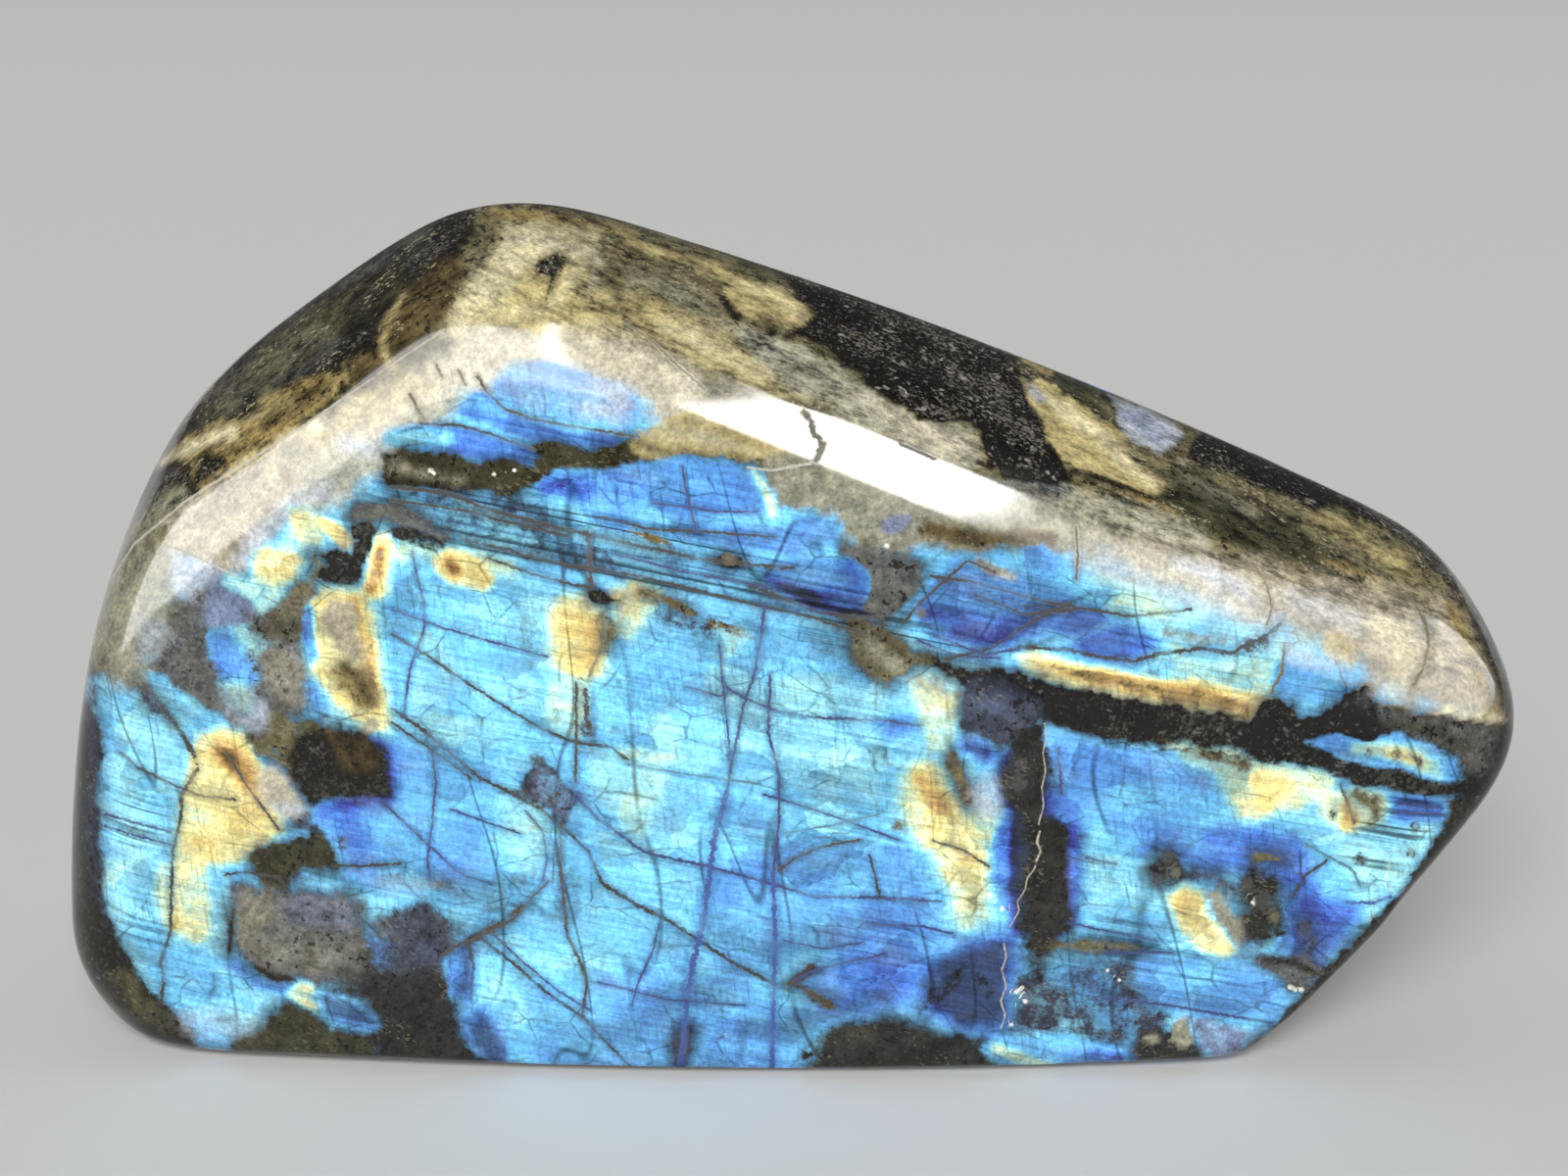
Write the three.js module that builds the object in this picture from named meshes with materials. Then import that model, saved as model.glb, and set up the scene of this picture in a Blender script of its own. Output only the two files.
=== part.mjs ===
// A polished labradorite freeform: one solid stone, ground and polished into broad, gently domed
// facets that roll into each other, with a flat sawn base that it stands on.
// Millimetres, +Z up. The broad face that shows the colours looks along -Y.
// The origin is the point of the base under the middle of the stone's bounding box.
import * as THREE from "three";
import { mergeVertices } from "three/addons/utils/BufferGeometryUtils.js";

// Driving dimensions: the block that the stone is cut from, and the facets cut on it.
const LENGTH = 144;
const DEPTH = 50;

// Each facet passes through the point at, looks along the vector faces, and bulges like a ball of
// radius dome. It rolls into the facets above it in this list over a blend about round wide.
const FACETS = [
  { name: "colour face", at: [0, -23.5, 30], faces: [0, -1, 0.12], dome: 700, round: 0 },
  { name: "back", at: [0, 24, 20], faces: [0.03, 1, 0.05], dome: 300, round: 0 },
  { name: "upper left", at: [-46, -7, 65.5], faces: [-0.56, -0.32, 0.77], dome: 600, round: 6 },
  { name: "upper right", at: [15, -7, 63], faces: [0.35, -0.27, 0.9], dome: 900, round: 8 },
  { name: "back left slope", at: [-44, 14, 68.5], faces: [-0.42, 0.62, 0.66], dome: 400, round: 7 },
  { name: "back right slope", at: [20, 14, 60], faces: [0.235, 0.7, 0.66], dome: 500, round: 8 },
  { name: "left shoulder", at: [-63.7, -1, 56.3], faces: [-0.87, -0.08, 0.48], dome: 150, round: 6 },
  { name: "left end", at: [-72.2, -6, 20], faces: [-1, -0.12, 0.08], dome: 260, round: 9 },
  { name: "left foot", at: [-70.5, -8, 2], faces: [-0.62, -0.15, -0.77], dome: 100, round: 5 },
  { name: "right end", at: [70.7, -4, 30], faces: [1, -0.02, 0.12], dome: 90, round: 7 },
  { name: "right undercut", at: [56, 0, 13], faces: [0.74, 0.02, -0.67], dome: 600, round: 4 },
].map((facet) => ({
  ...facet,
  at: new THREE.Vector3(...facet.at),
  faces: new THREE.Vector3(...facet.faces).normalize(),
}));
const BASE_ROUND = 1.6;

// A point well inside the stone, from which all of its skin can be seen.
const HEART = new THREE.Vector3(-5, 0, 36);

// The skin's vertices stand in columns round the stone, and in rows from the middle of the base out
// to its edge, up the sides and over to the top. A row's step is shorter where the skin bends: a
// turn of one radian counts as much as this many millimetres.
const COLUMNS = 132;
const ROWS = 36;
const BASE_ROWS = 4;
const RADIAN_COUNTS_AS = 22;
const PROFILE_STEPS = 160;
const HALVINGS = 32;

// How far point lies outside one facet, measured the way that the facet looks.
function outsideFacet(point, facet) {
  const offset = point.clone().sub(facet.at);
  const above = offset.dot(facet.faces);
  const sidewaysSquared = offset.lengthSq() - above * above;
  return above + sidewaysSquared / (2 * facet.dome);
}

// The larger of two distances, with the corner between them rolled over a blend of this width.
function rolledMax(a, b, width) {
  if (width === 0) return Math.max(a, b);
  const share = Math.max(width - Math.abs(a - b), 0) / width;
  return Math.max(a, b) + (share * share * width) / 4;
}

// Positive outside the facets and negative inside them all, before the base is sawn flat.
function outsideFacets(point) {
  return FACETS.reduce(
    (most, facet) => rolledMax(most, outsideFacet(point, facet), facet.round),
    -Infinity,
  );
}

function outsideStone(point) {
  return rolledMax(outsideFacets(point), -point.z, BASE_ROUND);
}

// Where a straight line from start along direction passes from negative to positive values of test.
function crossing(start, direction, test) {
  let inside = 0;
  let outside = LENGTH;
  for (let i = 0; i < HALVINGS; i += 1) {
    const middle = (inside + outside) / 2;
    if (test(start.clone().addScaledVector(direction, middle)) > 0) outside = middle;
    else inside = middle;
  }
  return start.clone().addScaledVector(direction, inside);
}

// One column of the skin. edge is where the flat base ends, and skin holds points from there up to
// the top, each with its reach: the length and the bends passed so far. outward is level.
function columnAt(outward) {
  const foot = new THREE.Vector3(HEART.x, HEART.y, 0);
  const edge = crossing(foot, outward, (point) => outsideFacets(point) + BASE_ROUND);
  const edgeAngle = Math.atan2(edge.distanceTo(foot), HEART.z);
  const skin = [{ angle: edgeAngle, reach: 0 }];
  let last = edge;
  let lastStep = outward;
  for (let i = 1; i <= PROFILE_STEPS; i += 1) {
    const angle = THREE.MathUtils.lerp(edgeAngle, Math.PI, i / PROFILE_STEPS);
    const point = skinPoint(outward, angle);
    const step = point.clone().sub(last);
    const passed = step.length() + RADIAN_COUNTS_AS * step.angleTo(lastStep);
    skin.push({ angle, reach: skin.at(-1).reach + passed });
    last = point;
    lastStep = step;
  }
  return { outward, foot, edge, skin };
}

// The skin's point in the upright plane through outward, at this angle from straight down.
function skinPoint(outward, angle) {
  const direction = outward.clone().multiplyScalar(Math.sin(angle));
  direction.z = -Math.cos(angle);
  return crossing(HEART, direction, outsideStone);
}

// The vertex of a column in this row: on the flat base up to BASE_ROWS, and on the skin above it.
function vertexAt({ outward, foot, edge, skin }, row) {
  if (row <= BASE_ROWS) return foot.clone().lerp(edge, row / BASE_ROWS);
  const share = (row - BASE_ROWS) / (ROWS - BASE_ROWS);
  const reach = share * skin.at(-1).reach;
  const next = Math.max(skin.findIndex((point) => point.reach >= reach), 1);
  const [low, high] = [skin[next - 1], skin[next]];
  const between = (reach - low.reach) / (high.reach - low.reach);
  return skinPoint(outward, THREE.MathUtils.lerp(low.angle, high.angle, between));
}

// A ball of COLUMNS by ROWS squares, with every vertex moved to its place on the stone.
function stoneGeometry() {
  const plan = new THREE.Path();
  plan.moveTo(-LENGTH / 2, -DEPTH / 2).lineTo(LENGTH / 2, -DEPTH / 2);
  plan.lineTo(LENGTH / 2, DEPTH / 2).lineTo(-LENGTH / 2, DEPTH / 2).closePath();
  const columns = plan.getSpacedPoints(COLUMNS).map((corner) => {
    return columnAt(new THREE.Vector3(corner.x, corner.y, 0).normalize());
  });
  const ball = new THREE.SphereGeometry(1, COLUMNS, ROWS);
  const { position } = ball.attributes;
  for (let i = 0; i < position.count; i += 1) {
    const row = ROWS - Math.floor(i / (COLUMNS + 1));
    position.setXYZ(i, ...vertexAt(columns[i % (COLUMNS + 1)], row));
  }
  ball.deleteAttribute("normal");
  ball.deleteAttribute("uv");
  const geometry = mergeVertices(ball);
  geometry.computeVertexNormals();
  return geometry;
}

const polishedStone = new THREE.MeshStandardMaterial({
  name: "polished labradorite",
  color: "#4f86b8",
  roughness: 0.12,
  metalness: 0,
});

const stone = new THREE.Mesh(stoneGeometry(), polishedStone);
stone.name = "stone";
stone.geometry.computeBoundingBox();
const middle = stone.geometry.boundingBox.getCenter(new THREE.Vector3());
stone.position.set(-middle.x, -middle.y, 0);

const part = new THREE.Group();
part.add(stone);

export default part;
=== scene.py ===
# A polished labradorite freeform on a pale floor, in metres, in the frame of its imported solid.
import math

import bmesh
import bpy
import numpy as np
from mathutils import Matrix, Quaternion, Vector, noise


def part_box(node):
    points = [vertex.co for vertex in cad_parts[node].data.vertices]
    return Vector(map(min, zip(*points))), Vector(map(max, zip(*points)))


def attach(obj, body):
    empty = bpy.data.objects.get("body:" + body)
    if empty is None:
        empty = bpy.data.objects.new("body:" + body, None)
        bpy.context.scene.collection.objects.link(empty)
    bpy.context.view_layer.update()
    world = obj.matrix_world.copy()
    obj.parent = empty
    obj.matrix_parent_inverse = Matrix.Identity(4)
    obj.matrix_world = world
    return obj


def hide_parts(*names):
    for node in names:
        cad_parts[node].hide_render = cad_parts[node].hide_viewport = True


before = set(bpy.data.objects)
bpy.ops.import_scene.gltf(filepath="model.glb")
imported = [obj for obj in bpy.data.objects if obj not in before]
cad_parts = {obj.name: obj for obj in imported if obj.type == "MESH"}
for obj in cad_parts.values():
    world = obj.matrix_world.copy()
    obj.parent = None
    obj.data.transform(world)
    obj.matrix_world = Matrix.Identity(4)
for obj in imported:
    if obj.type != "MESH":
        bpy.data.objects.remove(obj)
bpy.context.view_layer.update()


# The camera stands where the photograph was taken from: close to the stone, straight in front of
# its colour face and 18 degrees above level. The stone's markings are placed by what it sees.
MM = 0.001
PHOTO_WIDTH = 1600
PHOTO_HEIGHT = 1200
LENS_MM = 50
SENSOR_MM = 36
NEAREST_SEEN = 0.01
FARTHEST_SEEN = 20
CAMERA_ELEVATION = math.radians(18)
CAMERA_DISTANCE = 212 * MM
LOOKED_AT = Vector((0.75, -5.17, 42.1)) * MM

towards_camera = Vector((0, -math.cos(CAMERA_ELEVATION), math.sin(CAMERA_ELEVATION)))
camera_data = bpy.data.cameras.new("camera")
camera_data.lens = LENS_MM
camera_data.sensor_width = SENSOR_MM
camera_data.clip_start = NEAREST_SEEN
camera_data.clip_end = FARTHEST_SEEN
camera = bpy.data.objects.new("camera", camera_data)
camera.location = LOOKED_AT + towards_camera * CAMERA_DISTANCE
camera.rotation_euler = towards_camera.to_track_quat("Z", "Y").to_euler()
bpy.context.collection.objects.link(camera)
bpy.context.scene.camera = camera


def in_photo(points):
    """Where points (N x 3, metres) are seen in the 1600 x 1200 photograph, in pixels."""
    across = np.array((1, 0, 0))
    up = np.array((0, math.sin(CAMERA_ELEVATION), math.cos(CAMERA_ELEVATION)))
    offset = points - np.array(camera.location)
    depth = offset @ -np.array(towards_camera)
    pixels = LENS_MM / SENSOR_MM * PHOTO_WIDTH / depth
    x = PHOTO_WIDTH / 2 + offset @ across * pixels
    y = PHOTO_HEIGHT / 2 - offset @ up * pixels
    return np.stack((x, y), axis=1)


# The stone: one piece of labradorite feldspar, sawn flat underneath, ground into domed facets on a
# wheel and polished until it mirrors the lamps. Its skin is a fine net drawn onto the solid, with
# the faint waves that a wheel leaves.
SKIN_CELL = 0.4 * MM
SIDE_CELL = 1.0 * MM
HEART = Vector((-5, 0, 36)) * MM
MERGED_WITHIN = 0.001 * MM
SQUARED_BEND = math.radians(40)
SQUARED_SKEW = math.radians(60)
SOLID_SMOOTHINGS = 2
SKIN_SMOOTHINGS = 12
WAVE_HEIGHT = 0.12 * MM
WAVE_LENGTH = 24 * MM
WAVES_START = 4 * MM
RAY_LENGTH = 1.0

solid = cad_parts["stone"]
net = bmesh.new()
net.from_mesh(solid.data)
bmesh.ops.remove_doubles(net, verts=net.verts, dist=MERGED_WITHIN)
bmesh.ops.join_triangles(
    net, faces=net.faces, angle_face_threshold=SQUARED_BEND, angle_shape_threshold=SQUARED_SKEW
)
stone_mesh = bpy.data.meshes.new("polished_stone")
net.to_mesh(stone_mesh)
net.free()
draft = bpy.data.objects.new("stone_draft", stone_mesh)
bpy.context.collection.objects.link(draft)


def add(tree, kind, inputs=None, **settings):
    """Adds one node. Settings are its own properties, and inputs are values or other sockets."""
    node = tree.nodes.new(kind)
    for name, value in settings.items():
        setattr(node, name, value)
    for name, value in (inputs or {}).items():
        if isinstance(value, bpy.types.NodeSocket):
            tree.links.new(value, node.inputs[name])
        else:
            node.inputs[name].default_value = value
    return node


labradorite = bpy.data.materials.new("polished labradorite")

skin = bpy.data.node_groups.new("stone skin", "GeometryNodeTree")
controls = skin.interface
for name, kind in (
    ("Solid", "Geometry"),
    ("Middle", "Vector"),
    ("Size", "Vector"),
    ("Heart", "Vector"),
    ("Cell", "Float"),
    ("Side cell", "Float"),
    ("Wave height", "Float"),
    ("Wave length", "Float"),
):
    controls.new_socket(name, in_out="INPUT", socket_type="NodeSocket" + kind)
controls.new_socket("Skin", in_out="OUTPUT", socket_type="NodeSocketGeometry")
given = add(skin, "NodeGroupInput").outputs

smooth_solid = add(
    skin, "GeometryNodeSubdivisionSurface", {"Mesh": given["Solid"], "Level": SOLID_SMOOTHINGS}
)
sides = add(skin, "ShaderNodeSeparateXYZ", {"Vector": given["Size"]}).outputs
counts = [
    add(skin, "ShaderNodeMath", {0: sides[axis], 1: given[cell]}, operation="DIVIDE").outputs[0]
    for axis, cell in (("X", "Cell"), ("Y", "Side cell"), ("Z", "Cell"))
]
block = add(
    skin,
    "GeometryNodeMeshCube",
    {
        "Size": given["Size"],
        "Vertices X": counts[0],
        "Vertices Y": counts[1],
        "Vertices Z": counts[2],
    },
)
place = add(skin, "GeometryNodeInputPosition").outputs["Position"]
centred = add(skin, "ShaderNodeVectorMath", {0: place, 1: given["Middle"]}, operation="ADD")
outward = add(
    skin, "ShaderNodeVectorMath", {0: centred.outputs[0], 1: given["Heart"]}, operation="SUBTRACT"
)
hit = add(
    skin,
    "GeometryNodeRaycast",
    {
        "Target Geometry": smooth_solid.outputs["Mesh"],
        "Source Position": given["Heart"],
        "Ray Direction": outward.outputs[0],
        "Ray Length": RAY_LENGTH,
    },
)
drawn = add(
    skin,
    "GeometryNodeSetPosition",
    {"Geometry": block.outputs["Mesh"], "Position": hit.outputs["Hit Position"]},
)
blurred = add(
    skin,
    "GeometryNodeBlurAttribute",
    {"Value": place, "Iterations": SKIN_SMOOTHINGS},
    data_type="FLOAT_VECTOR",
)
height = add(skin, "ShaderNodeSeparateXYZ", {"Vector": place}).outputs["Z"]
blur_value = [s for s in blurred.outputs if s.enabled][0]
smoothed = add(
    skin,
    "GeometryNodeSetPosition",
    {"Geometry": drawn.outputs["Geometry"], "Position": blur_value},
)
per_wave = add(skin, "ShaderNodeMath", {0: 1.0, 1: given["Wave length"]}, operation="DIVIDE")
wave = add(
    skin, "ShaderNodeTexNoise", {"Scale": per_wave.outputs[0], "Detail": 1.0, "Roughness": 0.4}
)
fade = add(skin, "ShaderNodeMapRange", {"Value": height, "From Min": 0.0, "From Max": WAVES_START})
wave_height = add(
    skin, "ShaderNodeMath", {0: fade.outputs[0], 1: given["Wave height"]}, operation="MULTIPLY"
)
depth_of_wave = add(
    skin, "ShaderNodeMath", {0: wave.outputs[0], 1: wave_height.outputs[0]}, operation="MULTIPLY"
)
normal = add(skin, "GeometryNodeInputNormal").outputs[0]
inward = add(
    skin, "ShaderNodeVectorMath", {0: normal, "Scale": depth_of_wave.outputs[0]}, operation="SCALE"
)
sunk = add(skin, "ShaderNodeVectorMath", {0: (0, 0, 0), 1: inward.outputs[0]}, operation="SUBTRACT")
waved = add(
    skin,
    "GeometryNodeSetPosition",
    {"Geometry": smoothed.outputs["Geometry"], "Offset": sunk.outputs[0]},
)
shaded = add(skin, "GeometryNodeSetShadeSmooth", {"Geometry": waved.outputs["Geometry"]})
real = add(skin, "GeometryNodeRealizeInstances", {"Geometry": shaded.outputs["Geometry"]})
finished = add(
    skin, "GeometryNodeSetMaterial", {"Geometry": real.outputs["Geometry"], "Material": labradorite}
)
add(skin, "NodeGroupOutput", {"Skin": finished.outputs["Geometry"]})

low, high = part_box("stone")
modifier = draft.modifiers.new("skin", "NODES")
modifier.node_group = skin
settings = {
    "Middle": (low + high) / 2,
    "Size": high - low,
    "Heart": HEART,
    "Cell": SKIN_CELL,
    "Side cell": SIDE_CELL,
    "Wave height": WAVE_HEIGHT,
    "Wave length": WAVE_LENGTH,
}
for item in controls.items_tree:
    if item.name in settings and item.in_out == "INPUT":
        value = settings[item.name]
        modifier[item.identifier] = value[:] if isinstance(value, Vector) else value
stone_mesh = bpy.data.meshes.new_from_object(
    draft.evaluated_get(bpy.context.evaluated_depsgraph_get())
)
bpy.data.objects.remove(draft)
stone_mesh.name = "polished_stone"
stone = bpy.data.objects.new("polished_stone", stone_mesh)
bpy.context.collection.objects.link(stone)


# The side that the camera doesn't see keeps fewer faces, because its pattern needs no fine net.
TURNING = 0.15
THINNED_TO = 0.47
HIDDEN_FIRST = 10


def three_each(items, field):
    """Three numbers for each vertex or normal, as an N x 3 array."""
    values = np.empty(len(items) * 3)
    items.foreach_get(field, values)
    return values.reshape(-1, 3)


def seen_share(mesh):
    """How squarely each vertex faces the camera: below 0 turned away, and above 1 well in view."""
    to_camera = np.array(camera.location) - three_each(mesh.vertices, "co")
    to_camera /= np.linalg.norm(to_camera, axis=1)[:, None]
    return (three_each(mesh.vertex_normals, "vector") * to_camera).sum(1) / TURNING + 0.5


hidden = stone.vertex_groups.new(name="hidden")
share = np.clip(seen_share(stone_mesh), 0, 1)
for index in np.nonzero(share < 1)[0]:
    hidden.add([int(index)], 1 - share[index], "REPLACE")
thinner = stone.modifiers.new("thinner", "DECIMATE")
thinner.ratio = THINNED_TO
thinner.vertex_group = "hidden"
thinner.vertex_group_factor = HIDDEN_FIRST
thin_mesh = bpy.data.meshes.new_from_object(
    stone.evaluated_get(bpy.context.evaluated_depsgraph_get())
)
stone.modifiers.clear()
stone.vertex_groups.clear()
stone.data = thin_mesh
stone_mesh = thin_mesh
stone_mesh.name = "polished_stone"

# The stone's colours. Labradorite flashes where light bounces between its thin sheets, and the
# colour follows the sheets' thickness, from indigo through blue and green to gold and brown. So the
# flash is painted as one number along that row of colours, and its borders pass through the colours
# between. Where it doesn't flash the stone shows a body colour: olive, smoke, beige or black. The
# finish "dim" only dulls the flash under it.
FLASH = {
    "night": 0.0,
    "indigo": 0.09,
    "royal": 0.2,
    "azure": 0.32,
    "sky": 0.42,
    "ice": 0.52,
    "seafoam": 0.6,
    "lemon": 0.68,
    "gold": 0.74,
    "orange": 0.85,
    "amber": 0.93,
}
FLASH_COLOURS = {
    0.0: "#17182a",
    0.05: "#262759",
    0.11: "#3d439f",
    0.2: "#4f80d8",
    0.32: "#68aef0",
    0.42: "#76cbf8",
    0.52: "#a4ebf8",
    0.6: "#ccf2d8",
    0.68: "#f0eeb0",
    0.76: "#f2de8e",
    0.85: "#dcb672",
    0.93: "#94703c",
    1.0: "#3f2a17",
}
BODY = {
    "soot": "#100f0d",
    "olive black": "#191811",
    "charcoal": "#292927",
    "dark olive": "#3a392a",
    "olive": "#625e46",
    "brown": "#54482f",
    "bronze": "#7f7048",
    "tan": "#c0b07c",
    "straw": "#e8deb2",
    "smoke": "#5d5f5e",
    "grey": "#918f7b",
    "slate": "#3f4658",
    "lilac": "#7d8aac",
    "beige": "#aaa18b",
    "cream": "#c6bfa6",
    "frost": "#c0c8d4",
}

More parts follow.
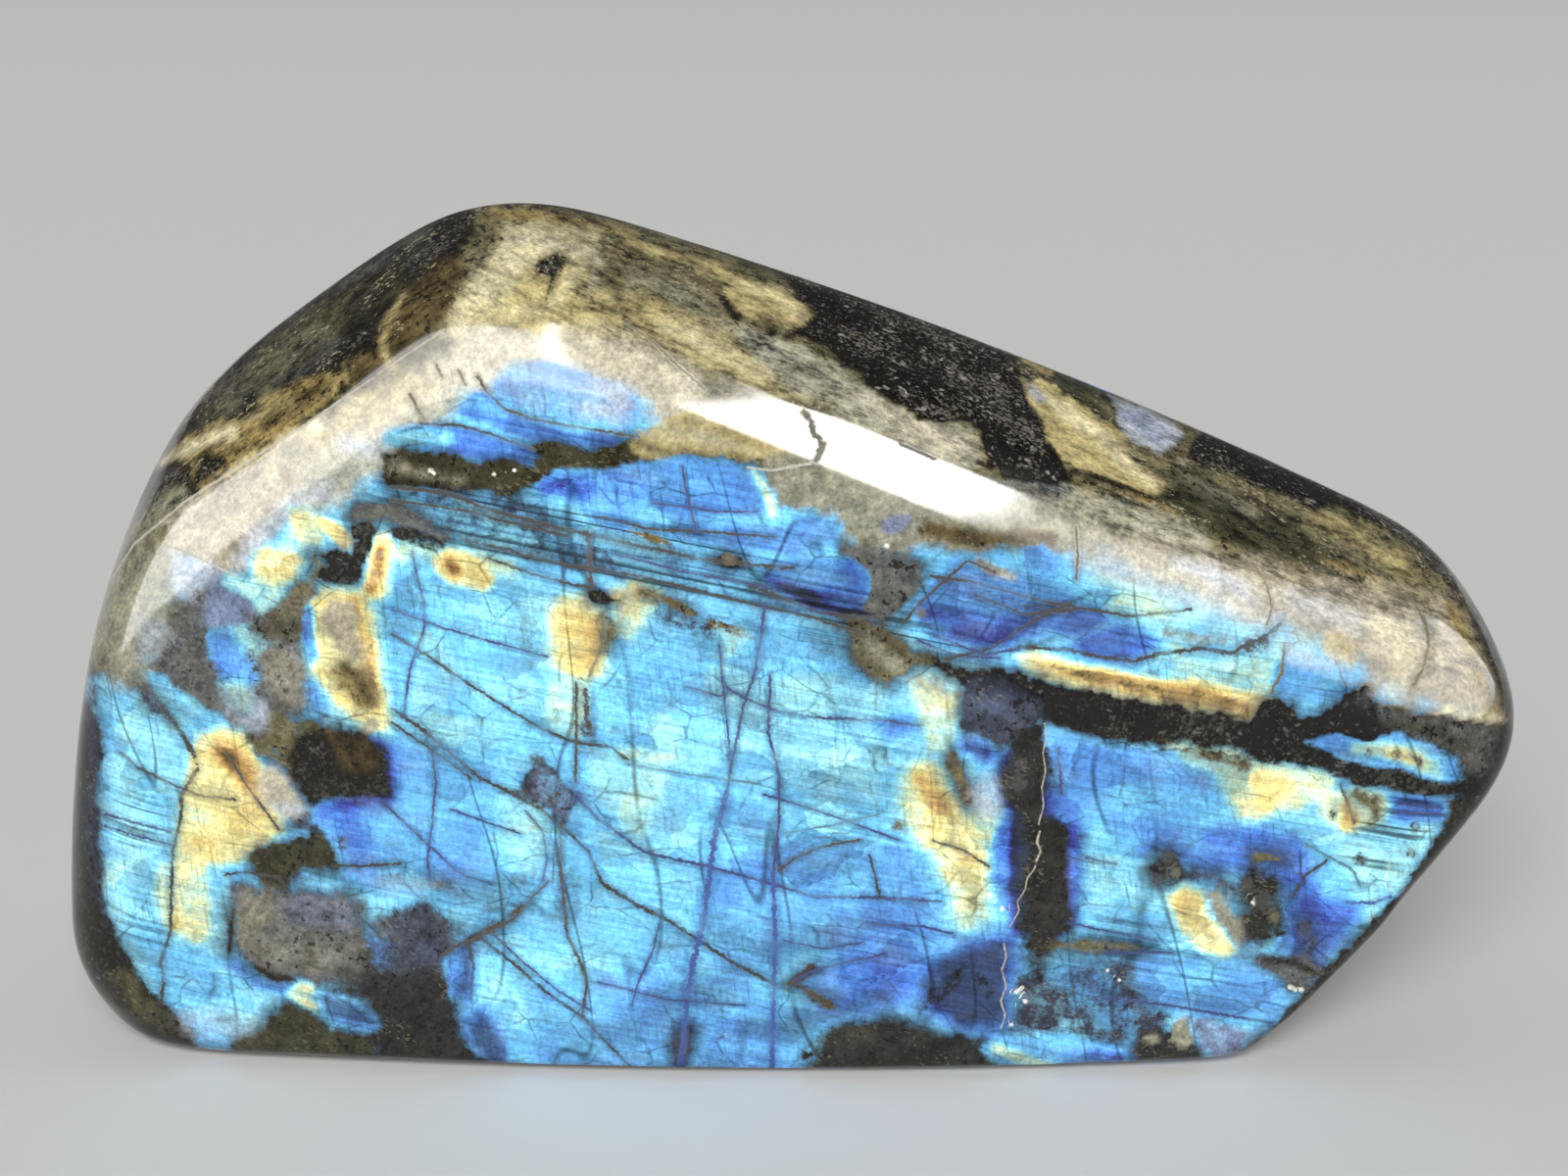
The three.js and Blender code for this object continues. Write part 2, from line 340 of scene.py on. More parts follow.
# Each mark is the finish that it lays, how fully, how many pixels its border takes, and its shape in
# pixels of the photograph: an outline of (x, y) corners, or a run of round dabs, (x, y, radius).
# Later marks lie over earlier ones.
MARKS = {
    # The upper facets, cut across the sheets: dull olive, gold and black. On the right slope, the cream
    # over the grey strip is partly a painted soft reflection, beside the strip lamp's highlight.
    "upland": ("olive", 1, 3, [
        (60, 700), (60, 480), (240, 300), (440, 170), (560, 170), (900, 250), (1300, 410), (1500, 540),
        (1600, 720), (1560, 745), (1440, 700), (1300, 606), (1160, 558), (1010, 530), (840, 480),
        (760, 452), (700, 408), (620, 390), (560, 365), (500, 372), (440, 400), (330, 470), (230, 540),
        (150, 590), (120, 680)]),
    "upper left facet": ("olive black", 1, 5, [
        (60, 640), (150, 440), (300, 270), (440, 180), (500, 190), (492, 232), (470, 262), (462, 310),
        (440, 345), (370, 392), (300, 440), (225, 490), (168, 530), (124, 576), (100, 620), (90, 660)]),
    "upper left sheen": ("smoke", 0.3, 12, [
        (205, 412), (222, 382), (262, 358), (292, 344), (345, 330), (352, 352), (318, 384), (288, 392),
        (258, 414), (222, 430)]),
    "facet olive": ("olive", 0.6, 16, [(210, 430, 8), (262, 380, 14), (330, 330, 16), (400, 290, 10)]),
    "upper left top sheen": ("smoke", 0.5, 10, [
        (296, 322, 4), (340, 292, 7), (392, 262, 6), (440, 232, 5)]),
    "black lobe": ("olive black", 0.6, 8, [
        (358, 304), (384, 284), (404, 290), (392, 322), (376, 352), (352, 352), (346, 326)]),
    "brown field": ("brown", 0.7, 9, [
        (398, 312), (424, 286), (452, 262), (478, 262), (470, 302), (448, 336), (420, 352), (396, 366),
        (384, 346)]),
    "brown field light": ("brown", 0.5, 7, [(402, 352, 7), (418, 330, 9), (440, 318, 8), (452, 276, 7)]),
    "gilt edge": ("tan", 0.5, 6, [
        (412, 302, 4), (400, 318, 4), (392, 338, 3), (390, 362, 4), (400, 374, 4)]),
    "brown lobe": ("brown", 0.9, 4, [
        (352, 368), (368, 357), (388, 362), (390, 378), (372, 392), (356, 390)]),
    "brown lobe rim": ("tan", 0.3, 4, [(352, 372, 2), (354, 388, 2), (362, 396, 2)]),
    "golden streak": ("bronze", 1, 4, [
        (162, 470), (186, 448), (214, 430), (244, 426), (262, 404), (292, 394), (322, 386), (350, 384),
        (336, 404), (308, 428), (282, 448), (258, 466), (240, 476), (228, 466), (206, 468), (197, 488),
        (190, 474), (178, 470)]),
    "golden streak light": ("tan", 0.25, 7, [
        (176, 464, 4), (206, 448, 8), (236, 436, 9), (262, 420, 7), (292, 406, 5)]),
    "golden streak core": ("straw", 0.95, 5, [(166, 470, 3), (188, 459, 5), (214, 448, 6), (236, 440, 6)]),
    "golden streak shade": ("brown", 0.8, 8, [(272, 436, 8), (300, 414, 10), (326, 398, 8)]),
    "bevel top strip": ("tan", 0.7, 5, [(206, 500, 4), (240, 480, 6), (276, 458, 7), (304, 442, 6)]),
    "left shoulder": ("grey", 0.6, 8, [(100, 640, 10), (122, 585, 13), (150, 540, 13), (182, 504, 8)]),
    "crown apex": ("olive", 1, 7, [
        (482, 196), (560, 192), (700, 226), (690, 250), (612, 240), (560, 236), (520, 232), (498, 246),
        (484, 232)]),
    "crown apex gold": ("bronze", 0.8, 6, [(500, 214, 5), (540, 220, 5), (590, 228, 4), (650, 240, 4)]),
    "crown straw": ("straw", 0.7, 10, [
        (608, 238), (566, 234), (524, 232), (506, 250), (488, 276), (470, 310), (452, 342), (470, 342),
        (486, 322), (504, 300), (524, 282), (548, 266), (580, 252)]),
    "crown dome": ("tan", 0.85, 8, [
        (488, 330), (512, 298), (540, 276), (566, 268), (592, 276), (616, 300), (640, 330), (650, 350),
        (600, 345), (556, 344), (520, 334)]),
    "crown dome shade": ("olive", 0.8, 9, [(584, 288, 7), (604, 306, 12), (626, 326, 12), (644, 340, 7)]),
    "crown dome light": ("straw", 0.5, 9, [
        (586, 262, 5), (604, 250, 6), (560, 318, 5), (500, 318, 6), (536, 268, 4)]),
    "crown spot": ("soot", 1, 2, [
        (546, 270), (556, 261), (570, 261), (577, 268), (572, 278), (560, 281), (549, 277)]),
    "crown spot middle": ("smoke", 0.5, 2, [(555, 272, 2), (566, 272, 3)]),
    "crown tail": ("olive black", 0.95, 3, [(566, 276, 4), (564, 290, 3), (559, 304, 3), (555, 314, 2)]),
    "crown patches": ("cream", 0.8, 5, [
        (520, 246, 4), (528, 248, 3), (542, 242, 3), (612, 262, 3), (604, 290, 3)]),
    "crown arc": ("dark olive", 0.65, 5, [
        (576, 266, 3), (602, 274, 4), (624, 290, 6), (644, 312, 8), (662, 338, 9), (676, 350, 4)]),
    "slope green": ("olive", 1, 8, [
        (620, 244), (700, 262), (760, 292), (800, 322), (830, 352), (780, 352), (720, 330), (676, 340),
        (640, 290)]),
    "slope grey": ("grey", 0.4, 12, [(650, 282, 10), (700, 300, 14), (740, 330, 12), (700, 336, 9)]),
    "slope straw": ("tan", 0.5, 10, [
        (640, 300), (680, 312), (722, 334), (764, 362), (812, 400), (780, 402), (730, 382), (686, 358),
        (650, 346)]),
    "slope straw light": ("straw", 0.5, 8, [(676, 332, 5), (712, 346, 6), (744, 362, 6), (780, 388, 6)]),
    "slope gold one": ("tan", 1, 6, [(640, 250, 2), (690, 262, 4), (730, 276, 4), (762, 292, 4)]),
    "slope brown": ("brown", 0.4, 9, [(640, 268, 6), (690, 282, 8), (730, 294, 6)]),
    "slope gold two": ("tan", 1, 4, [
        (738, 300), (752, 284), (776, 290), (802, 300), (822, 312), (834, 326), (824, 334), (800, 332),
        (772, 322), (752, 314)]),
    "slope gold two light": ("straw", 0.5, 5, [(760, 290, 3), (790, 302, 5), (812, 318, 6), (826, 326, 4)]),
    "slope top edge": ("dark olive", 0.8, 6, [(760, 262, 8), (800, 276, 9), (850, 286, 8)]),
    "slope grey strip": ("grey", 1, 9, [
        (756, 338), (806, 348), (852, 374), (902, 406), (952, 432), (992, 436), (1006, 470), (990, 486),
        (950, 470), (906, 450), (860, 424), (812, 398), (770, 366)]),
    # Partly a painted soft reflection, beside the strip lamp's highlight.
    "slope grey strip light": ("cream", 1, 12, [
        (880, 404, 5), (915, 428, 9), (955, 446, 13), (990, 462, 10)]),
    "slope grey strip dark": ("smoke", 0.6, 5, [(760, 346, 3), (784, 356, 6), (812, 368, 4)]),
    "crumbs one": ("soot", 1, 3, [(737, 302, 3), (742, 312, 5), (752, 324, 4)]),
    "crumbs two": ("soot", 1, 3, [(786, 339, 4), (790, 340, 4)]),
    "crumbs three": ("soot", 0.9, 3, [(802, 344, 5), (822, 338, 8), (838, 346, 8)]),
    "coarse black": ("soot", 1, 3, [
        (808, 276), (840, 270), (940, 300), (1036, 340), (1040, 370), (1046, 396), (1058, 420), (1072, 446),
        (1080, 470), (1094, 497), (1060, 499), (1030, 490), (1008, 482), (1002, 460), (1000, 440),
        (984, 430), (954, 430), (926, 420), (904, 406), (880, 390), (860, 372), (842, 352), (818, 340),
        (830, 322), (812, 306)]),
    "coarse black foot": ("smoke", 1, 3, [
        (1004, 482), (1030, 489), (1062, 498), (1094, 496), (1088, 516), (1050, 522), (1006, 516)]),
    "far corner": ("dark olive", 1, 5, [
        (1036, 352), (1070, 356), (1150, 396), (1136, 412), (1118, 428), (1092, 418), (1070, 400),
        (1044, 390)]),
    "far corner gold": ("tan", 0.8, 4, [(1044, 362, 3), (1056, 372, 4), (1072, 380, 3)]),
    "gold field": ("tan", 1, 3, [
        (1044, 392), (1062, 386), (1078, 400), (1096, 414), (1126, 424), (1146, 444), (1152, 466),
        (1176, 480), (1192, 500), (1178, 506), (1148, 494), (1118, 482), (1094, 476), (1078, 460),
        (1066, 430), (1052, 412)]),
    "gold field light": ("straw", 0.8, 5, [
        (1076, 412, 5), (1100, 428, 7), (1124, 446, 7), (1150, 474, 6), (1176, 492, 4)]),
    "gold field shade": ("tan", 0.6, 5, [(1084, 440, 6), (1104, 460, 6), (1140, 480, 5)]),
    "gold field corner": ("lilac", 0.6, 4, [(1052, 396, 5), (1062, 406, 5)]),
    "under gold": ("olive black", 1, 3, [(1094, 480, 3), (1122, 488, 3), (1152, 500, 4), (1186, 514, 4)]),
    "under gold streak": ("bronze", 0.7, 3, [(1140, 502, 2), (1172, 512, 4), (1202, 524, 3)]),
    "slope frost": ("frost", 0.9, 6, [
        (1132, 404), (1158, 412), (1200, 428), (1206, 446), (1186, 464), (1162, 452), (1142, 434)]),
    "slope frost blue": ("lilac", 0.6, 8, [(1148, 422, 5), (1164, 430, 5), (1180, 446, 6)]),
    "slope dark": ("dark olive", 1, 5, [
        (1190, 466), (1230, 484), (1272, 504), (1320, 528), (1352, 548), (1396, 590), (1392, 604),
        (1340, 592), (1290, 574), (1252, 556), (1216, 540), (1194, 520), (1176, 506), (1196, 496)]),
    "slope dark light": ("grey", 0.5, 6, [(1204, 484, 4), (1240, 502, 4), (1280, 524, 4)]),
    "slope haze": ("grey", 1, 10, [
        (1090, 500), (1130, 502), (1170, 518), (1206, 534), (1240, 554), (1222, 566), (1180, 560),
        (1130, 562), (1090, 548)]),
    "slope end": ("olive", 1, 5, [
        (1336, 518), (1390, 524), (1418, 538), (1444, 556), (1460, 584), (1476, 608), (1442, 604),
        (1412, 592), (1386, 580), (1356, 560), (1330, 540)]),
    "slope end light": ("tan", 0.6, 8, [(1350, 530, 6), (1384, 548, 8), (1420, 572, 8), (1440, 590, 7)]),
    "slope gold bits": ("bronze", 0.8, 3, [
        (1348, 570, 3), (1360, 576, 4), (1384, 584, 4), (1398, 592, 5), (1410, 600, 3)]),
    "right black": ("soot", 1, 3, [
        (1206, 468), (1216, 448), (1230, 430), (1300, 450), (1400, 500), (1480, 550), (1530, 610),
        (1548, 680), (1550, 744), (1528, 744), (1524, 706), (1514, 668), (1502, 642), (1492, 616),
        (1478, 602), (1462, 582), (1450, 562), (1438, 552), (1414, 536), (1390, 526), (1364, 521),
        (1338, 516), (1308, 510), (1288, 500), (1268, 492), (1250, 484), (1226, 476)]),
    "right black wedge": ("grey", 0.8, 4, [(1322, 476, 3), (1350, 488, 5), (1374, 500, 4)]),
    "right black crumbs": ("beige", 0.7, 3, [(1204, 470, 4), (1212, 474, 4)]),

    # The bevels between the upper facets and the colour face. Their cream, beige, frost and straw are
    # partly the pale feldspar and partly a painted reflection of the bright surroundings, beside the lamps
    # that they really mirror, and the bevel glints are painted highlights.
    "left bevel": ("cream", 0.9, 12, [
        (184, 524), (230, 490), (264, 470), (304, 444), (345, 425), (400, 392), (440, 366), (474, 346),
        (500, 334), (530, 340), (560, 352), (548, 372), (516, 380), (500, 398), (478, 404), (458, 428),
        (430, 440), (400, 456), (392, 472), (360, 500), (330, 520), (300, 524), (260, 560), (240, 590),
        (176, 560)]),
    "left bevel dim": ("grey", 0.4, 14, [(300, 462, 10), (330, 484, 16), (362, 490, 16), (380, 478, 12)]),
    "left bevel warm": ("tan", 0.45, 12, [(360, 420, 12), (400, 404, 14), (430, 392, 12), (320, 446, 8)]),
    "left bevel top": ("cream", 0.9, 8, [(470, 366, 10), (500, 352, 13), (530, 354, 12), (486, 384, 8)]),
    "bevel lens": ("beige", 1, 3, [
        (172, 530), (200, 504), (230, 488), (262, 475), (286, 470), (302, 480), (298, 498), (282, 518),
        (262, 540), (246, 562), (238, 586), (214, 577), (194, 566), (172, 556)]),
    # The bright lower part of the lens is partly a painted reflection.
    "bevel lens light": ("cream", 0.9, 10, [(190, 544, 8), (220, 552, 10), (250, 520, 12), (280, 490, 8)]),
    "bevel frost": ("frost", 0.75, 12, [
        (248, 570, 7), (262, 548, 9), (284, 530, 8), (300, 512, 6), (330, 500, 8)]),
    "bevel frost two": ("frost", 0.6, 10, [(352, 452, 7), (380, 458, 8), (392, 462, 6)]),
    "bevel glints": ("straw", 0.9, 3, [(320, 434, 6), (322, 436, 5)]),
    # The crest haze is partly a painted reflection.
    "crest haze": ("cream", 1, 14, [
        (560, 350), (578, 338), (604, 336), (650, 350), (690, 368), (716, 392), (716, 416), (700, 432),
        (664, 430), (650, 404), (610, 388), (572, 372)]),
    "right bevel": ("beige", 1, 20, [
        (1094, 548), (1130, 548), (1170, 552), (1206, 560), (1250, 572), (1300, 580), (1350, 588),
        (1400, 602), (1440, 606), (1478, 610), (1500, 650), (1520, 700), (1532, 734), (1480, 728),
        (1440, 716), (1408, 706), (1392, 676), (1352, 650), (1300, 636), (1270, 646), (1230, 634),
        (1180, 622), (1140, 600), (1100, 576)]),
    "right bevel cream": ("cream", 0.95, 14, [
        (1150, 560), (1200, 562), (1244, 574), (1282, 588), (1296, 612), (1292, 634), (1270, 640),
        (1236, 622), (1190, 606), (1150, 588)]),
    "right bevel frost": ("frost", 0.5, 14, [
        (1130, 574, 8), (1166, 596, 9), (1210, 612, 9), (1256, 628, 7)]),
    "right bevel cool": ("frost", 0.35, 14, [(1320, 610, 12), (1350, 622, 14), (1384, 636, 12)]),
    "right bevel light": ("frost", 0.7, 12, [
        (1200, 574, 6), (1230, 584, 10), (1262, 600, 10), (1280, 616, 6)]),
    "right bevel straw": ("straw", 0.5, 9, [
        (1400, 636, 8), (1430, 650, 14), (1436, 684, 13), (1422, 704, 7)]),
    "right bevel tan": ("tan", 0.8, 4, [
        (1350, 646), (1372, 646), (1386, 666), (1384, 688), (1362, 684), (1352, 664)]),
    "right bevel end": ("beige", 0.9, 12, [(1466, 650, 8), (1482, 690, 16), (1500, 716, 10)]),
    "right bevel end light": ("straw", 0.9, 4, [(1470, 724, 3), (1500, 730, 4), (1528, 734, 3)]),
    "right end brown": ("bronze", 1, 5, [(1478, 618, 5), (1494, 648, 7), (1508, 684, 7), (1520, 722, 5)]),
    "arc gap": ("olive", 0.9, 3, [
        (1454, 610, 3), (1462, 640, 4), (1462, 664, 4), (1452, 690, 4), (1444, 708, 3)]),

    # The rims, where the stone turns away and down: partly dark olive stone and partly painted shade.
    "left rim": ("olive black", 1, 5, [
        (50, 700), (92, 716), (104, 760), (101, 810), (102, 860), (108, 910), (120, 955), (138, 984),
        (152, 1002), (164, 1027), (186, 1040), (196, 1062), (206, 1080), (120, 1090), (50, 1000)]),
    "left rim grey": ("slate", 0.6, 8, [
        (94, 690, 6), (94, 780, 7), (92, 840, 8), (98, 900, 6), (110, 946, 3)]),
    "left rim olive": ("olive", 0.5, 9, [(124, 996, 8), (144, 1024, 10), (172, 1050, 7)]),
    "left strip": ("grey", 0.9, 14, [
        (128, 574), (150, 556), (172, 552), (184, 580), (184, 622), (172, 652), (158, 668), (152, 700),
        (126, 702), (106, 690), (100, 650), (108, 610)]),
    "left strip shade": ("smoke", 0.3, 9, [(112, 640, 5), (124, 600, 6), (142, 574, 5)]),
    "left strip blue": ("frost", 0.6, 10, [(150, 640, 7), (150, 668, 7), (164, 640, 6)]),
    # Painted shade along the foot, where the stone turns down to the floor.
    "bottom rim": ("olive black", 1, 3, [
        (206, 1078, 5), (300, 1086, 6), (420, 1092, 6), (560, 1096, 3), (1000, 1098, 3)]),
    "right rim": ("olive black", 1, 4, [
        (1530, 738), (1512, 762), (1502, 790), (1486, 806), (1478, 826), (1470, 845), (1447, 880),
        (1425, 912), (1405, 935), (1380, 960), (1355, 985), (1330, 1012), (1305, 1038), (1280, 1060),
        (1250, 1080), (1200, 1096), (1300, 1100), (1420, 980), (1560, 800), (1560, 738)]),
    "right rim shade": ("olive black", 0.7, 5, [
        (1496, 836, 7), (1460, 884, 5), (1410, 940, 4), (1330, 1028, 4)]),

    # The left end of the colour face.
    "left field": ("ice", 0.5, 10, [
        (112, 770), (124, 720), (150, 716), (190, 770), (196, 800), (184, 900), (180, 980), (230, 990),
        (290, 1012), (240, 1050), (190, 1040), (150, 1000), (116, 940)]),
    "left field bright": ("ice", 0.8, 12, [(130, 812, 8), (150, 850, 14), (140, 880, 10)]),
    "left field pale": ("ice", 0.7, 12, [(132, 742, 8), (148, 762, 12), (168, 790, 8)]),
    "left field deep": ("azure", 0.15, 12, [(140, 724, 9), (160, 746, 12), (180, 772, 10), (150, 776, 8)]),
    "left field low": ("azure", 0.25, 12, [
        (128, 900, 7), (144, 950, 9), (176, 1000, 11), (216, 1010, 13), (262, 1020, 10)]),
    "lilac foot": ("frost", 0.4, 14, [(192, 1040, 9), (222, 1050, 13), (256, 1050, 12)]),
    "grey foot": ("dark olive", 0.95, 10, [
        (236, 1076), (240, 1060), (259, 1052), (272, 1036), (294, 1022), (318, 1026), (340, 1046),
        (370, 1048), (392, 1060), (382, 1094), (300, 1090)]),
    "frost by strip": ("frost", 0.9, 7, [
        (180, 564), (216, 577), (216, 602), (196, 616), (184, 606), (178, 584)]),
    "mottled ground": ("smoke", 0.8, 14, [
        (166, 640), (200, 606), (236, 588), (268, 600), (320, 596), (318, 640), (310, 680), (316, 712),
        (304, 738), (270, 752), (232, 740), (196, 724), (168, 700), (156, 680)]),
    "mottled lilac": ("lilac", 0.75, 9, [
        (210, 612), (222, 590), (244, 586), (266, 596), (266, 620), (244, 636), (222, 642), (208, 634)]),
    "mottled beige": ("smoke", 0.7, 12, [
        (164, 680), (180, 660), (206, 654), (216, 674), (222, 700), (218, 722), (196, 718), (172, 702)]),
    "mottled brown": ("olive", 0.6, 11, [
        (268, 612), (300, 600), (318, 606), (312, 634), (308, 658), (288, 656), (268, 648)]),
    "mottled pink": ("beige", 0.45, 12, [
        (264, 660), (286, 662), (306, 672), (318, 688), (314, 708), (304, 728), (284, 714), (268, 698)]),
    "mottled green": ("frost", 0.5, 10, [
        (226, 704), (240, 700), (262, 702), (278, 722), (276, 748), (252, 744), (232, 726)]),
    "seafoam patch": ("seafoam", 0.4, 8, [
        (232, 640), (246, 638), (258, 650), (270, 662), (254, 668), (240, 656)]),
    "royal patch": ("royal", 0.85, 9, [
        (214, 650), (230, 648), (242, 662), (254, 676), (260, 694), (244, 697), (226, 690), (218, 670)]),
    "lemon patch": ("lemon", 0.6, 9, [(230, 700), (246, 698), (256, 712), (250, 726), (236, 716)]),
    "sky strip": ("sky", 1, 6, [
        (148, 688), (168, 690), (186, 712), (212, 728), (232, 738), (206, 752), (192, 750), (172, 722)]),
    "lilac wedge": ("slate", 0.7, 5, [
        (136, 698), (150, 700), (170, 722), (176, 738), (158, 728), (144, 718)]),
    "ice by lens": ("ice", 0.95, 7, [
        (236, 594, 5), (256, 602, 8), (268, 616, 7), (284, 602, 6), (300, 560, 7), (300, 545, 6)]),
    "lemon one": ("lemon", 1, 7, [
        (260, 572), (274, 560), (296, 560), (304, 574), (296, 590), (276, 598), (262, 590)]),
    "lemon one core": ("gold", 0.8, 6, [(276, 580, 5), (290, 574, 5)]),
    "lemon two": ("lemon", 0.75, 6, [
        (296, 518), (314, 522), (332, 536), (328, 552), (310, 556), (300, 540)]),
    "gold tip": ("gold", 1, 4, [(326, 530), (344, 536), (360, 552), (352, 560), (338, 548)]),
    "olive by tips": ("olive", 0.8, 8, [(320, 562, 5), (326, 580, 7), (316, 596, 6), (300, 604, 6)]),
    "smoke over black": ("smoke", 1, 8, [(366, 524, 8), (396, 520, 11), (424, 532, 9), (450, 548, 7)]),
    "black blob": ("soot", 1, 2, [
        (326, 566), (342, 560), (358, 564), (364, 552), (360, 538), (372, 532), (388, 540), (384, 554),
        (376, 572), (370, 590), (356, 600), (336, 596), (322, 590), (334, 578)]),
    "black blob two": ("soot", 1, 2, [
        (398, 538), (420, 540), (446, 546), (456, 560), (440, 563), (414, 553), (400, 548)]),
    "gold by black": ("lemon", 1, 7, [(390, 552, 6), (387, 574, 10), (384, 600, 10)]),
    "gold by black core": ("amber", 0.9, 4, [(389, 562, 4), (386, 578, 6), (380, 600, 5)]),
    "oval flash": ("lemon", 1, 9, [
        (320, 622), (334, 606), (354, 602), (372, 611), (380, 632), (384, 662), (390, 700), (394, 726),
        (394, 744), (384, 748), (370, 736), (350, 722), (334, 706), (322, 686), (318, 656)]),
    "oval orange": ("orange", 0.8, 5, [
        (360, 613, 3), (368, 636, 3), (374, 664, 4), (380, 700, 4), (382, 720, 3)]),
    "oval beige": ("beige", 0.95, 8, [
        (328, 630), (340, 613), (356, 613), (366, 632), (372, 660), (368, 674), (350, 672), (334, 656)]),
    "oval brown": ("bronze", 0.95, 9, [
        (332, 674), (350, 676), (370, 686), (378, 706), (378, 726), (364, 722), (346, 706), (332, 690)]),
    "oval brown shade": ("brown", 0.9, 4, [(350, 680, 3), (364, 692, 5), (374, 712, 5)]),
    "oval foot": ("beige", 1, 3, [(380, 738, 7), (376, 742, 6)]),
    "oval edge violet": ("indigo", 0.8, 6, [(314, 624, 1), (313, 646, 2), (318, 668, 2)]),
    "violet patch": ("indigo", 0.6, 9, [(316, 704, 5), (326, 718, 6)]),
    "olive over hollow": ("olive", 1, 6, [
        (276, 716), (300, 732), (330, 738), (344, 748), (322, 766), (292, 772), (262, 764), (274, 746)]),
    "olive by gold": ("olive", 0.9, 7, [(250, 756, 6), (274, 768, 7), (296, 780, 7)]),
    "hollow": ("night", 1, 11, [(380, 764, 5), (392, 786, 8), (392, 808, 8), (368, 820, 6), (340, 824, 4)]),
    "hollow body": ("olive black", 1, 9, [
        (290, 778), (304, 752), (330, 738), (358, 744), (382, 760), (396, 786), (399, 806), (378, 815),
        (352, 820), (330, 828), (306, 814), (296, 796)]),
    "hollow gold": ("brown", 0.75, 9, [
        (346, 752, 5), (366, 762, 8), (380, 778, 6), (356, 780, 7), (336, 746, 5)]),
    "hollow black": ("soot", 1, 3, [
        (320, 758), (334, 756), (342, 770), (338, 786), (322, 796), (308, 800), (304, 788), (316, 776)]),

    # The foot of the left end.
    "gold left": ("gold", 1, 9, [
        (196, 772), (206, 754), (226, 748), (246, 752), (262, 790), (278, 822), (288, 846), (264, 862),
        (240, 876), (216, 882), (216, 920), (212, 954), (194, 956), (178, 944), (180, 890), (184, 836),
        (194, 806)]),
    "gold left top": ("lemon", 0.95, 6, [(204, 764, 5), (200, 790, 5), (192, 822, 6), (210, 830, 6)]),
    "gold left core": ("orange", 0.6, 10, [(206, 858, 6), (212, 872, 5)]),
    "gold left low": ("lemon", 1, 8, [(206, 894, 9), (198, 920, 12), (200, 944, 10)]),
    "gold left strip": ("lemon", 0.9, 6, [(166, 884, 3), (166, 912, 5), (168, 936, 4)]),
    "ice by gold": ("ice", 1, 7, [
        (216, 888), (236, 892), (236, 930), (228, 950), (234, 976), (214, 968), (218, 930)]),
    "rust by gold": ("amber", 0.9, 8, [
        (224, 766), (240, 770), (264, 784), (260, 796), (268, 808), (250, 800), (236, 786)]),
    "beige by gold": ("cream", 1, 8, [
        (262, 782), (284, 780), (298, 802), (308, 820), (304, 836), (290, 838), (274, 824), (262, 806)]),
    "frost by gold": ("frost", 0.8, 5, [(284, 824, 4), (300, 826, 5), (312, 830, 4)]),
    "slate by blob": ("slate", 0.9, 6, [(296, 844, 5), (312, 838, 8), (326, 846, 8)]),
    "olive blob": ("dark olive", 1, 4, [
        (260, 876), (274, 862), (300, 856), (330, 850), (346, 866), (346, 886), (330, 892), (310, 888),
        (300, 904), (284, 908), (264, 902)]),
    "royal wedge": ("azure", 0.9, 10, [
        (326, 832), (344, 820), (382, 816), (378, 836), (374, 852), (384, 872), (378, 898), (360, 896),
        (348, 866)]),
    "indigo wedge": ("royal", 0.9, 10, [(334, 828, 4), (352, 838, 6), (362, 856, 8), (364, 876, 6)]),
    "violet top": ("indigo", 0.7, 5, [(346, 822, 3), (376, 818, 3)]),
    "grey zone": ("smoke", 1, 20, [
        (238, 904), (262, 904), (300, 908), (352, 914), (376, 946), (420, 936), (452, 944), (452, 972),
        (430, 1000), (384, 1004), (330, 1002), (290, 1000), (262, 992), (246, 976), (240, 950)]),
    "grey zone green": ("grey", 0.5, 10, [
        (242, 910), (266, 906), (280, 914), (276, 936), (258, 948), (246, 968), (241, 940)]),
    "grey zone lilac": ("lilac", 0.3, 14, [
        (282, 926), (300, 912), (330, 912), (356, 922), (368, 944), (340, 946), (304, 942)]),
    "grey zone warm": ("grey", 0.3, 14, [(270, 968, 10), (300, 966, 14), (340, 972, 14), (366, 988, 8)]),
    "grey zone violet": ("indigo", 0.6, 9, [
        (376, 954), (396, 962), (416, 976), (410, 996), (390, 996), (378, 978)]),
    "grey zone slate": ("slate", 0.95, 20, [
        (390, 942), (436, 932), (462, 952), (470, 980), (462, 1004), (430, 1012), (404, 1008), (400, 984),
        (404, 964)]),
    "grey zone rim violet": ("royal", 0.8, 7, [
        (240, 984, 3), (262, 1002, 3), (290, 1008, 3), (306, 1004, 2)]),
    "grey zone rim": ("olive black", 0.9, 3, [(256, 984, 3), (276, 996, 3), (304, 1000, 3)]),
    "grey zone left": ("olive black", 1, 2, [(238, 928, 3), (235, 950, 4), (234, 970, 3)]),
    "grey branch": ("frost", 0.35, 10, [(392, 900, 6), (412, 906, 7), (442, 900, 6)]),
    "grey zone join": ("charcoal", 0.75, 18, [(352, 992, 8), (390, 1000, 14), (436, 1002, 16)]),
    "dark foot": ("charcoal", 0.95, 18, [
        (348, 1012), (368, 1001), (413, 1001), (441, 990), (454, 1001), (464, 1024), (473, 1046),
        (489, 1068), (528, 1094), (381, 1096), (374, 1060), (380, 1036), (368, 1020)]),
    "foot lemon": ("lemon", 0.9, 4, [
        (294, 1014), (306, 1003), (320, 1008), (330, 1024), (322, 1030), (306, 1024)]),
    "foot royal": ("royal", 0.7, 8, [
        (324, 1018), (346, 1022), (368, 1032), (382, 1046), (360, 1048), (340, 1040)]),
    "royal by crack": ("royal", 0.9, 7, [(456, 980), (476, 962), (482, 990), (478, 1020), (464, 1014)]),
